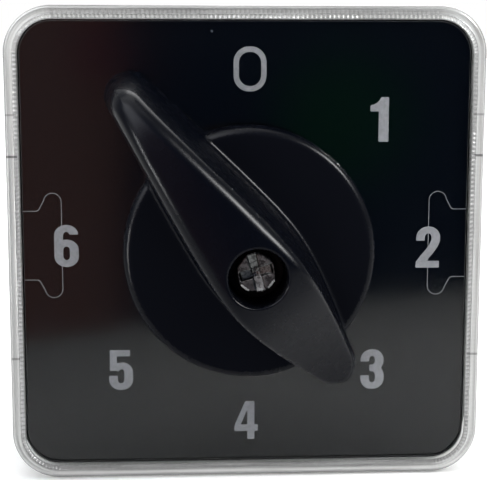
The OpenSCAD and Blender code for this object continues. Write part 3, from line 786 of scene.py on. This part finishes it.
def arc(cx, cz, rx, rz, a0, a1):
    angles = [math.radians(a) for a in np.linspace(a0, a1, 14)]
    return [(cx + rx * math.cos(a), cz + rz * math.sin(a)) for a in angles]


def box_distance(x, z, x0, x1, z0, z1):
    return np.maximum(np.maximum(x0 - x, x - x1), np.maximum(z0 - z, z - z1))


SQUEEZE, HALF_STROKE = 0.79, 0.475


def digit(n, x, z):
    """Distance to a bold narrow numeral about 3.3 mm wide and 5.7 mm high; 0 is rounder and lighter."""
    def stroke(pts):
        return polyline_distance(x, z, pts, SQUEEZE) - HALF_STROKE

    def without(d, x0, x1, z0, z1):
        return np.maximum(d, -box_distance(x, z, x0, x1, z0, z1))

    if n == 0:
        a = np.abs(x)
        r = 1.75
        q = np.hypot(np.maximum(a - (1.84 - r), 0), np.maximum(np.abs(z) * 0.98 - (2.56 - r), 0))
        return np.abs(q - r) - 0.37
    if n == 1:
        return polygon_distance(x, z, [(-1.25, 1.06), (-1.25, 1.93), (-0.8, 2.0), (-0.35, 2.25), (0.0, 2.62),
                                       (0.2, 3.0), (1.25, 3.0), (1.25, -3.0), (-0.12, -3.0), (-0.12, 1.06)])
    if n == 2:
        slant = [(0.78, 0.25), (0.2, -0.6), (-0.45, -1.35), (-0.92, -2.0), (-1.1, -2.7)]
        curve = [(-1.06, 0.4), (-1.06, 1.25)] + arc(0, 1.3, 1.06, 1.08, 180, 0) + [(1.05, 0.95)] + slant
        d = without(stroke(curve), -2.5, 0.0, -0.9, 0.88)
        d = np.maximum(np.minimum(d, stroke(slant)), -2.85 - z)
        return np.minimum(d, box_distance(x, z, -1.68, 1.55, -2.85, -1.92))
    if n == 3:
        upper = [(-1.02, 0.6), (-1.02, 1.3)] + arc(-0.02, 1.35, 1.0, 1.0, 180, 0) + \
            [(0.95, 0.9), (0.7, 0.42), (0.2, 0.18), (-0.15, 0.18)]
        lower = [(-0.15, 0.18), (0.25, 0.15), (0.75, -0.12), (1.02, -0.7), (1.04, -1.3)] + \
            arc(0, -1.35, 1.02, 1.02, 0, -180) + [(-1.02, -0.4)]
        upper = without(stroke(upper), -2.5, -0.5, -0.2, 1.08)
        lower = without(stroke(lower), -2.5, -0.5, -0.85, 0.9)
        return without(np.minimum(upper, lower), -2.5, -0.4, -0.85, 1.08)
    if n == 4:
        outer = polygon_distance(x, z, [(0.17, -2.72), (0.17, -1.57), (-1.62, -1.57), (-1.62, -0.78),
                                        (-0.1, 2.72), (1.15, 2.72), (1.15, -0.61), (1.62, -0.61),
                                        (1.62, -1.57), (1.15, -1.57), (1.15, -2.72)])
        hole = polygon_distance(x, z, [(0.17, -0.61), (-0.74, -0.61), (0.17, 1.45)])
        return np.maximum(outer, -hole)
    if n == 5:
        flag = box_distance(x, z, -1.5, 1.28, 1.93, 2.82)
        stem = box_distance(x, z, -1.5, -0.55, -0.1, 2.82)
        bowl = [(-0.85, 0.1), (-0.35, 0.52)] + arc(0.1, -0.35, 0.95, 0.95, 80, 0) + [(1.05, -1.3)] + \
            arc(0, -1.35, 1.04, 1.0, 0, -180) + [(-1.04, -0.4)]
        bowl = without(stroke(bowl), -2.5, -0.5, -0.8, -0.1)
        return np.minimum(np.minimum(flag, stem), without(bowl, -2.5, -1.5, -0.8, 3))
    loop = [(-1.04, -0.9)] + arc(0, -0.55, 1.04, 0.95, 170, 10) + [(1.04, -1.4)] + \
        arc(0, -1.42, 1.04, 0.98, 0, -180) + [(-1.04, -0.5)]
    over = [(-1.04, -1.4), (-1.04, 1.35)] + arc(0, 1.4, 1.04, 1.0, 180, 20)
    return np.minimum(stroke(loop), without(stroke(over), 0.3, 2.5, -0.2, 1.52))


def numeral(name, n, centre, y_front, thick, scale, slot, material, back=False):
    """A raised numeral, upright as seen from the front, or from behind with back."""
    def shape(p):
        x, z, h = p.T
        return np.maximum(digit(n, x / scale, z / scale) * scale, np.abs(h) - thick / 2)

    half = np.array([2.6, 3.3]) * scale
    cell = np.array([0.075 * scale, 0.075 * scale, thick / 4])
    points, faces, _ = surface_net(shape, (*-half, -thick), (*half, thick), cell, steps=2)
    s = -1.0 if back else 1.0
    to_row = np.array([[s, 0, 0], [0, 0, -s], [0, 1, 0]])
    points = points @ to_row.T + np.array([centre[0], y_front, centre[1]])
    make_object(name, points, faces[:, ::-1], [material], "base", slot, crisp=30)


numeral_places = {0: (0.44, 23.7), 1: (17.89, 16.97), 2: (24.86, -0.43), 3: (17.43, -17.47),
                  4: (-0.03, -24.51), 5: (-17.19, -17.18), 6: (-24.27, 0.07)}
for n, place in numeral_places.items():
    numeral(f"numeral_{n}", n, place, CARD_Y - 0.035, 0.04, 1.0, "legend_print", INK)


# ---- cut lines of the legend strip
def line_material(name, dark, light):
    m, nt, out, c = new_material(name)
    principled(nt, out, Base_Color=mix_color(nt, noise(nt, c, 900, 3), dark, light), Roughness=0.5)
    return m


INK_LINE = line_material("legend_hairline", (0.12, 0.122, 0.13), (0.24, 0.24, 0.25))
FAINT_LINE = line_material("legend_border_line", (0.035, 0.035, 0.037), (0.06, 0.06, 0.062))


def strip_line(name, pts, half=0.055, material=INK_LINE):
    """A hairline along points (x, z), as a thin raised ribbon."""
    verts, faces = [], []
    pts = [Vector(q) for q in pts]
    for i, q in enumerate(pts):
        along = (pts[min(len(pts) - 1, i + 1)] - pts[max(0, i - 1)]).normalized()
        across = Vector((-along.y, along.x)) * half
        for y in (CARD_Y - 0.005, CARD_Y - 0.03):
            for side in (1, -1):
                verts.append((q.x + side * across.x, y, q.y + side * across.y))
    for i in range(len(pts) - 1):
        b, n = 4 * i, 4 * i + 4
        for p, q in ((0, 1), (1, 3), (3, 2), (2, 0)):
            faces.append([b + p, b + q, n + q, n + p])
    end = 4 * (len(pts) - 1)
    faces += [[0, 1, 3, 2], [end + 2, end + 3, end + 1, end]]
    make_object(name, verts, faces, [material], "base", "legend_print", crisp=0)


# The cut lines start straight from the card's edge, turn outwards, and end in a half-round bump.
# CUT_Z is their height, CUT_RISE how far they sit above centre, BUMP_IN and BUMP_UP the bump's centre.
CUT_Z, CUT_RISE, CUT_GAP, CUT_LENGTH = 4.68, 0.12, 0.25, 1.65
TURN_R, BUMP_R, BUMP_IN, BUMP_UP = 0.55, 1.18, 3.9, 1.25
edge = CARD_W / 2 - CUT_GAP
bend, bump_z = edge - CUT_LENGTH, CUT_Z + BUMP_UP
for side, sx in (("left", -1), ("right", 1)):
    for where, sz in (("upper", 1), ("lower", -1)):
        pts = [(edge, CUT_Z), (bend, CUT_Z)]
        pts += [(bend - TURN_R * math.sin(t), CUT_Z + TURN_R * (1 - math.cos(t)))
                for t in np.linspace(0.2, math.radians(72), 5)]
        pts += [(edge - BUMP_IN + BUMP_R * math.cos(t), bump_z + BUMP_R * math.sin(t))
                for t in np.linspace(math.radians(8), math.radians(180), 14)]
        strip_line(f"cut_line_{side}_{where}", [(sx * x, sz * z + CUT_RISE) for x, z in pts])
    down_x = sx * (edge - BUMP_IN - BUMP_R)
    strip_line(f"cut_line_{side}_down", [(down_x, CUT_RISE + bump_z), (down_x, CUT_RISE - bump_z)], 0.05)

border_half, border_r = CARD_W / 2 - 0.2, 4.3
border = []
for quarter, (sx, sz) in enumerate(((1, 1), (-1, 1), (-1, -1), (1, -1))):
    for a in np.linspace(0, math.pi / 2, 12):
        a += quarter * math.pi / 2
        border.append((sx * (border_half - border_r) + border_r * math.cos(a),
                       sz * (border_half - border_r) + border_r * math.sin(a)))
strip_line("card_border_line", border + border[:1], 0.04, FAINT_LINE)

# ---- clear cover
WALL, PANE_T, HOLE_R = 1.7, 1.05, 10.0
RIB_PITCH, SAMPLES = 0.6, 1632
STRAIGHT, QUARTER = 2 * (COVER_W / 2 - COVER_R), math.pi * COVER_R / 2
OUTLINE_LENGTH = 4 * (STRAIGHT + QUARTER)
RIBS = round(OUTLINE_LENGTH / RIB_PITCH)
# relief of the outer and the inner ribs, which meet at an inset: top, right, bottom, left, corners
OUTER_RIBS, INNER_RIBS, RIBS_MEET = (1.0, 0.12, 0.0, 0.12, 0.2), (1.0, 0.8, 0.0, 0.8, 0.5), 1.1
# (inset, y, rib relief in y, rib relief outwards), from the wall's back edge to the pane
RIM_PROFILE = (
    (WALL, COVER_BACK_Y, 0, 0), (0.35, COVER_BACK_Y, 0, 0), (0.12, COVER_BACK_Y - 0.1, 0, 0),
    (0.0, COVER_BACK_Y - 0.35, 0, 0), (0.0, -3.2, 0, 0), (0.03, -3.5, 0, 0.05), (0.03, -6.2, 0, 0.05),
    (0.0, -6.5, 0, 0), (0.0, PANE_Y + 0.5, 0, 0), (0.06, PANE_Y + 0.26, 0, 0), (0.2, PANE_Y + 0.09, 0, 0),
    (0.36, PANE_Y, 0, 0), (0.42, PANE_Y, 0, 0), (0.50, PANE_Y + 0.05, 0.16, 0),
    (1.05, PANE_Y + 0.05, 0.16, 0), (1.15, PANE_Y + 0.02, 0, 0), (1.22, PANE_Y + 0.07, 0.22, 0),
    (1.66, PANE_Y + 0.07, 0.22, 0), (1.74, PANE_Y + 0.01, 0, 0), (1.82, PANE_Y, 0, 0),
)
RIM_RINGS, WALL_RINGS = len(RIM_PROFILE), 8
PANE_STEPS = (0.0, 0.25, 0.6, 1.0)


def outline(inset):
    """Points (x, z, side, how far along it) round the cover, moved in from its outer edge by inset.

    They are evenly spaced along the outer edge. The sides are top, right, bottom and left.
    """
    half, r = COVER_W / 2, COVER_R
    pts = []
    for i in range(SAMPLES):
        s = OUTLINE_LENGTH * i / SAMPLES
        side = int(s // (STRAIGHT + QUARTER))
        t = s - side * (STRAIGHT + QUARTER)
        if t < STRAIGHT:
            x, z, nx, nz = -half + r + t, half, 0.0, 1.0
        else:
            a = math.pi / 2 - (t - STRAIGHT) / r
            nx, nz = math.cos(a), math.sin(a)
            x, z = half - r + r * nx, half - r + r * nz
        x, z = x - nx * inset, z - nz * inset
        c, sn = math.cos(-side * math.pi / 2), math.sin(-side * math.pi / 2)
        pts.append((x * c - z * sn, x * sn + z * c, side, t / STRAIGHT))
    return pts


def rim_ring(inset, y, relief, relief_out):
    """A ring of the rim, with its ribs."""
    verts = []
    ribs = OUTER_RIBS if inset < RIBS_MEET else INNER_RIBS
    for i, (x, z, side, t) in enumerate(outline(inset)):
        # the outer ribs of the top side lean
        phase = RIBS * i / SAMPLES + (inset if side == 0 and inset < RIBS_MEET else 0)
        wave = 0.5 - 0.5 * math.cos(2 * math.pi * phase)
        k = 1 - relief_out * wave / 31
        verts.append((x * k, y + relief * wave * ribs[side if t < 1 else 4], z * k))
    return verts


def pane_ring(inset, t, y):
    """A ring t of the way from the outline at an inset to the round hole."""
    verts = []
    for x, z, _, _ in outline(inset):
        a = math.atan2(z, x)
        hx, hz = HOLE_R * math.cos(a), HOLE_R * math.sin(a)
        verts.append((x + (hx - x) * t, y, z + (hz - z) * t))
    return verts


verts = []
for row in RIM_PROFILE:
    verts += rim_ring(*row)
for t in PANE_STEPS[1:]:
    verts += pane_ring(RIM_PROFILE[-1][0], t, PANE_Y)
for t in PANE_STEPS[::-1]:
    verts += pane_ring(WALL, t, PANE_Y + PANE_T)
rings = len(verts) // SAMPLES
faces = [(a, d, c, b) for a, b, c, d in rows_to_faces(rings, SAMPLES, closed=True)]
cover = make_object("clear_cover_moulding", verts, faces, [RIM, PANE, SIDE_WALL], "base", "clear_plastic",
                    ("clear_cover",), crisp=50)
face_materials = []
for r in range(rings):
    on_pane = RIM_RINGS - 1 <= r < rings - 1
    on_wall = r < WALL_RINGS or r == rings - 1
    face_materials += [1 if on_pane else 2 if on_wall else 0] * SAMPLES
cover.data.polygons.foreach_set("material_index", face_materials)

# ---- rear: studs, nuts, screws, housings
RING_R, NUMBER_RING_R, TIE_RING_R = 18.0, 25.0, 23.6
STUD_R, CORE_R, NECK_R, THREAD = 2.5, 2.12, 2.25, 0.8
STUD_HEAD_R, STUD_HEAD_FLAT_R, STUD_HEAD_T, COMMON_HEAD_T, STUD_HEAD_IN = 4.2, 3.9, 2.0, 1.5, 0.8
STUD_SEGMENTS = 32
NUT_FLATS, NUT_BORE_R, NUT_SEGMENTS = 8.0, 2.28, 48
WASHER_BORE_R, WASHER_R = 2.6, 5.0
STUD_END = levels("terminal_studs")[1]
NUT_F, NUT_B = levels("stud_nuts")
COVER_F, COVER_B = levels("rear_cover")


def on_circle(radius, degrees):
    """A place (x, z), by degrees clockwise from the right as seen from the front."""
    a = math.radians(degrees)
    return radius * math.cos(a), -radius * math.sin(a)


def thread_radius(k, y):
    phase = (y / THREAD - k / STUD_SEGMENTS) % 1.0
    ridge = 1 - abs(2 * phase - 1)
    r = CORE_R + (STUD_R - CORE_R) * min(1, max(0, ridge * 1.35 - 0.12))
    return min(r, 1.95 + max(0, STUD_END - y))


def stud_mesh(head_y, head_t):
    """A stud with a round head and a threaded end; a row with no radius is thread."""
    rows = [(STUD_HEAD_FLAT_R, head_y), (STUD_HEAD_R, head_y + 0.3), (STUD_HEAD_R, head_y + head_t),
            (NECK_R, head_y + head_t), (NECK_R, COVER_B - 1.0)]
    y = COVER_B - 1.0
    while y < STUD_END - 1e-6:
        rows.append((None, y))
        y += THREAD / 6
    rows.append((1.9, STUD_END))
    verts = []
    for r, y in rows:
        for k in range(STUD_SEGMENTS):
            a = 2 * math.pi * k / STUD_SEGMENTS
            radius = thread_radius(k, y) if r is None else r
            verts.append((radius * math.cos(a), y, radius * math.sin(a)))
    faces = rows_to_faces(len(rows), STUD_SEGMENTS)
    for row, y in ((0, head_y), (len(rows) - 1, STUD_END)):
        start = row * STUD_SEGMENTS
        for k in range(STUD_SEGMENTS):
            faces.append([len(verts), start + k, start + (k + 1) % STUD_SEGMENTS])
        verts.append((0, y, 0))
    return verts, faces


def nut_mesh():
    """A chamfered hexagon nut; a row with no radius is the hexagon, sunk where its corners are cut."""
    sixth = math.pi / 3
    chamfer_r = NUT_FLATS / 2 * 0.97
    mouth_r = NUT_BORE_R + 0.3
    rows = [(NUT_BORE_R, NUT_F + 0.3, 0), (mouth_r, NUT_F, 0), (chamfer_r, NUT_F, 0), (None, NUT_F, 1),
            (None, NUT_B, -1), (chamfer_r, NUT_B, 0), (mouth_r, NUT_B, 0), (NUT_BORE_R, NUT_B - 0.3, 0)]
    verts = []
    for r, y, sink in rows:
        for k in range(NUT_SEGMENTS):
            a = 2 * math.pi * k / NUT_SEGMENTS
            radius = r or NUT_FLATS / 2 / math.cos((a + sixth / 2) % sixth - sixth / 2)
            drop = sink * (radius - chamfer_r) * 0.577
            verts.append((radius * math.cos(a), y + drop, radius * math.sin(a)))
    return verts, rows_to_faces(len(rows), NUT_SEGMENTS, closed=True)


studs, nuts, washers = [], [], []
for k in range(1, 8):
    x, z = on_circle(RING_R, 45 * k - 90)
    head_y, head_t = COVER_F + STUD_HEAD_IN, STUD_HEAD_T
    if k == 7:  # the common stud
        head_y, head_t = head_y - COMMON_HEAD_T, COMMON_HEAD_T
    studs.append(moved(stud_mesh(head_y, head_t), x, 0, z))
    nuts.append(moved(turned(nut_mesh(), 0.35 * k * k), x, 0, z))
    washer = closed_lathe([
        (WASHER_BORE_R, COVER_B + 0.06), (2.66, COVER_B), (4.9, COVER_B), (WASHER_R, COVER_B + 0.12),
        (WASHER_R, NUT_F - 0.3), (4.8, NUT_F), (2.7, NUT_F), (WASHER_BORE_R, NUT_F - 0.1)])
    washers.append(moved(washer, x, 0, z))

# tie screws: pan heads with a cross recess
TIE_HEAD_R, TIE_R = 2.75, 1.5
TIE_F, TIE_B = levels("tie_screws")


def tie_head(p):
    x, z, h = p.T
    r = np.hypot(x, z)
    top = TIE_B - 0.055 * r**2
    head = round_max(r - TIE_HEAD_R, h - top, 0.55)
    head = np.maximum(head, COVER_B - h)
    d = TIE_B - h
    for a, b in ((x, z), (z, x)):
        slot = np.maximum(np.abs(a) - 0.42 + 0.1 * d, np.abs(b) - 1.7 + 0.75 * d)
        head = round_max(head, -np.maximum(slot, d - 1.25), 0.05)
    return head


points, faces, _ = surface_net(tie_head, (-3, -3, COVER_B - 0.2), (3, 3, TIE_B + 0.2), 0.11)
head = to_list(points[:, [0, 2, 1]], faces)
shank = lathe([(0, TIE_F), (1.1, TIE_F), (TIE_R, TIE_F + 0.4), (TIE_R, COVER_B), (0, COVER_B)])
ties = []
for k in range(4):
    x, z = on_circle(TIE_RING_R, 22.5 + 90 * k)
    ties += [moved(turned(head, 0.5 + 0.9 * k), x, 0, z), moved(shank, x, 0, z)]

for name, parts, material, slot, node, crisp in (
    ("terminal_studs_threaded", studs, BRASS, "brass", "terminal_studs", 50),
    ("stud_nuts_chamfered", nuts, BRASS, "brass", "stud_nuts", 25),
    ("stud_washers_stamped", washers, ZINC, "zinc_steel", "stud_washers", 30),
    ("tie_screws_pan_head", ties, ZINC, "zinc_steel", "tie_screws", 40),
):
    make_object(name, *joined(parts), [material], "base", slot, (node,), crisp)

rounded_copy("detent_housing", 0.35, DETENT)
rounded_copy("contact_housing", 0.35, HOUSING)
rounded_copy("rear_cover", 0.3, HOUSING)
rounded_copy("rear_cap", 0.5, CAP, segments=4)
rounded_copy("panel_gasket", 0.3, RUBBER)

for k in range(1, 7):
    numeral(f"stud_number_{k}", k, on_circle(NUMBER_RING_R, 45 * k - 90), COVER_B + 0.08, 0.24, 0.34,
            "housing_plastic", HOUSING, back=True)

# ---- camera, as fitted to the photograph
F_PX, IMG_W, SENSOR_W = 1278.6, 488, 36
RX, RY, RZ = (math.radians(a) for a in (8.65, 3.02, 0.40))
TX, TY, DIST = 0.333, -0.7, 173.5


def rot(axis, a):
    c, s = math.cos(a), math.sin(a)
    return np.array({"x": [[1, 0, 0], [0, c, -s], [0, s, c]], "y": [[c, 0, s], [0, 1, 0], [-s, 0, c]],
                     "z": [[c, -s, 0], [s, c, 0], [0, 0, 1]]}[axis])


R = rot("z", RZ) @ rot("y", RY) @ rot("x", RX)
place = R.T @ np.array([-TX, -TY, DIST])
right, up, back = (Vector((v[0], -v[2], v[1])) for v in R)
cam_data = bpy.data.cameras.new("camera")
cam = bpy.data.objects.new("camera", cam_data)
scene.collection.objects.link(cam)
scene.camera = cam
cam_data.sensor_width = SENSOR_W
cam_data.lens = SENSOR_W * F_PX / IMG_W
cam.matrix_world = Matrix((
    (right.x, up.x, back.x, place[0] * MM),
    (right.y, up.y, back.y, (CARD_Y - place[2]) * MM),
    (right.z, up.z, back.z, place[1] * MM),
    (0, 0, 0, 1)))
cam_data.clip_start, cam_data.clip_end = 0.01, 20

# ---- floor, in metres
FLOOR_Z = cad_box[0][2] - 0.0002
FLOOR_SIDE, FLOOR_FRONT = 6, -10
# The card mirrors the floor as far as this slanted edge: its place on the axis, its slope, and how
# wide and how strong the darkening towards it is.
EDGE_Y, EDGE_SLOPE, EDGE_FADE, EDGE_LOSS = -0.1096, 0.488, 0.055, 0.44


def floor_material():
    m, nt, out, c = new_material("studio_floor")
    col = mix_color(nt, noise(nt, c, 40, 3), (0.86, 0.86, 0.855), (0.90, 0.90, 0.895))
    length = nt.nodes.new("ShaderNodeVectorMath")
    length.operation = "LENGTH"
    nt.links.new(c, length.inputs[0])
    glow = map_range(nt, length.outputs["Value"], 0.05, 0.60, 0.16, 0.58)
    pale = principled(nt, out, Base_Color=col, Roughness=0.8, Specular_IOR_Level=0.1,
                      Emission_Color=(1, 1, 1), Emission_Strength=glow)
    black = nt.nodes.new("ShaderNodeBsdfDiffuse")
    put(nt, black.inputs["Color"], BLACK)
    past_edge = dot_product(nt, c, (EDGE_SLOPE, 1, 0))
    fade = map_range(nt, past_edge, EDGE_Y, EDGE_Y + EDGE_FADE, EDGE_LOSS, 0)
    mirrored = nt.nodes.new("ShaderNodeLightPath").outputs["Is Glossy Ray"]
    mix_shaders(nt, out, math_node(nt, "MULTIPLY", fade, mirrored), pale, black)
    return m


def floor_sheet(name, corners, mirrored):
    me = bpy.data.meshes.new(name)
    me.from_pydata([(x, y, FLOOR_Z) for x, y in corners], [], [(0, 1, 2, 3)])
    me.materials.append(FLOOR)
    ob = bpy.data.objects.new(name, me)
    scene.collection.objects.link(ob)
    ob.visible_glossy = mirrored


FLOOR = floor_material()
edge_ends = [(x, EDGE_Y - x * EDGE_SLOPE) for x in (-FLOOR_SIDE, FLOOR_SIDE)]
floor_sheet("floor", edge_ends + [(FLOOR_SIDE, FLOOR_SIDE), (-FLOOR_SIDE, FLOOR_SIDE)], True)
floor_sheet("floor_front", [(-FLOOR_SIDE, FLOOR_FRONT), (FLOOR_SIDE, FLOOR_FRONT)] + edge_ends[::-1], False)

# ---- light
world = bpy.data.worlds.new("studio")
scene.world = world
world.use_nodes = True
nt = world.node_tree
nt.nodes.clear()
direction = nt.nodes.new("ShaderNodeTexCoord").outputs["Generated"]


def toward(vec, inner, outer):
    """1 within the inner angle of a direction, 0 beyond the outer one."""
    dot = dot_product(nt, direction, Vector(vec).normalized())
    return map_range(nt, dot, math.cos(math.radians(outer)), math.cos(math.radians(inner)), smooth=True)


# the room that glossy surfaces mirror: navy, brown and red on the left, green by the 1, a bright window
NAVY, BROWN, RED, GREEN = (0.030, 0.055, 0.115), (0.56, 0.31, 0.28), (0.46, 0.10, 0.14), (0.004, 0.165, 0.060)
WALLS, WINDOW = (0.55, 0.56, 0.58), (7.5, 7.6, 8.0)
sep = nt.nodes.new("ShaderNodeSeparateXYZ")
nt.links.new(direction, sep.inputs[0])
left = map_range(nt, sep.outputs["X"], -0.028, -0.056, smooth=True)
front = mix_color(nt, left, NAVY, mix_color(nt, toward((-0.055, -1, 0.0), 0.3, 2.2), BROWN, RED))
front = mix_color(nt, toward((0.132, -1, -0.056), 0.5, 4.0), front, GREEN)
room = mix_color(nt, toward((0.05, -1, -0.02), 16, 62), WALLS, front)
room = mix_color(nt, toward((-0.55, -0.50, 0.62), 14, 40), room, WINDOW)
path = nt.nodes.new("ShaderNodeLightPath")
col = mix_color(nt, path.outputs["Is Glossy Ray"], (0.62, 0.63, 0.65), room)
col = mix_color(nt, path.outputs["Is Camera Ray"], col, (1.0, 1.0, 1.0))
background = nt.nodes.new("ShaderNodeBackground")
nt.links.new(col, background.inputs["Color"])
out = nt.nodes.new("ShaderNodeOutputWorld")
nt.links.new(background.outputs[0], out.inputs["Surface"])


def area(name, location, target, size, power, colour=(1, 1, 1), size_y=None):
    d = bpy.data.lights.new(name, "AREA")
    d.energy = power
    d.color = colour
    d.size = size
    if size_y:
        d.shape = "RECTANGLE"
        d.size_y = size_y
    ob = bpy.data.objects.new(name, d)
    scene.collection.objects.link(ob)
    ob.location = location
    ob.rotation_mode = "QUATERNION"
    ob.rotation_quaternion = (Vector(target) - Vector(location)).to_track_quat("-Z", "Y")
    ob.visible_camera = False
    return ob


area("key_right", (0.42, -0.30, 0.34), (0, -0.02, 0), 0.16, 2.0, (1.0, 0.99, 0.97))
area("top_soft", (-0.10, -0.05, 0.70), (0, 0, 0), 0.7, 3.2)
fill = area("left_soft", (-0.60, -0.15, 0.25), (0, 0, 0), 0.25, 1.4, (0.97, 0.98, 1.0))
fill.visible_glossy = False
# these three only make the highlights on the lever
area("ridge_glow", (0.42, -0.34, 0.32), (0, -0.02, 0), 0.17, 5.5).visible_diffuse = False
for name, x, z in (("left_streak_low", -0.078, -0.016), ("left_streak_high", -0.088, 0.000)):
    streak = area(name, (x, -0.072, z), (-0.02, -0.03, 0.01), 0.004, 0.03, size_y=0.012)
    streak.visible_diffuse = False
area("rear_soft", (0.25, 0.60, 0.45), (0, 0.03, 0), 0.6, 3.0)
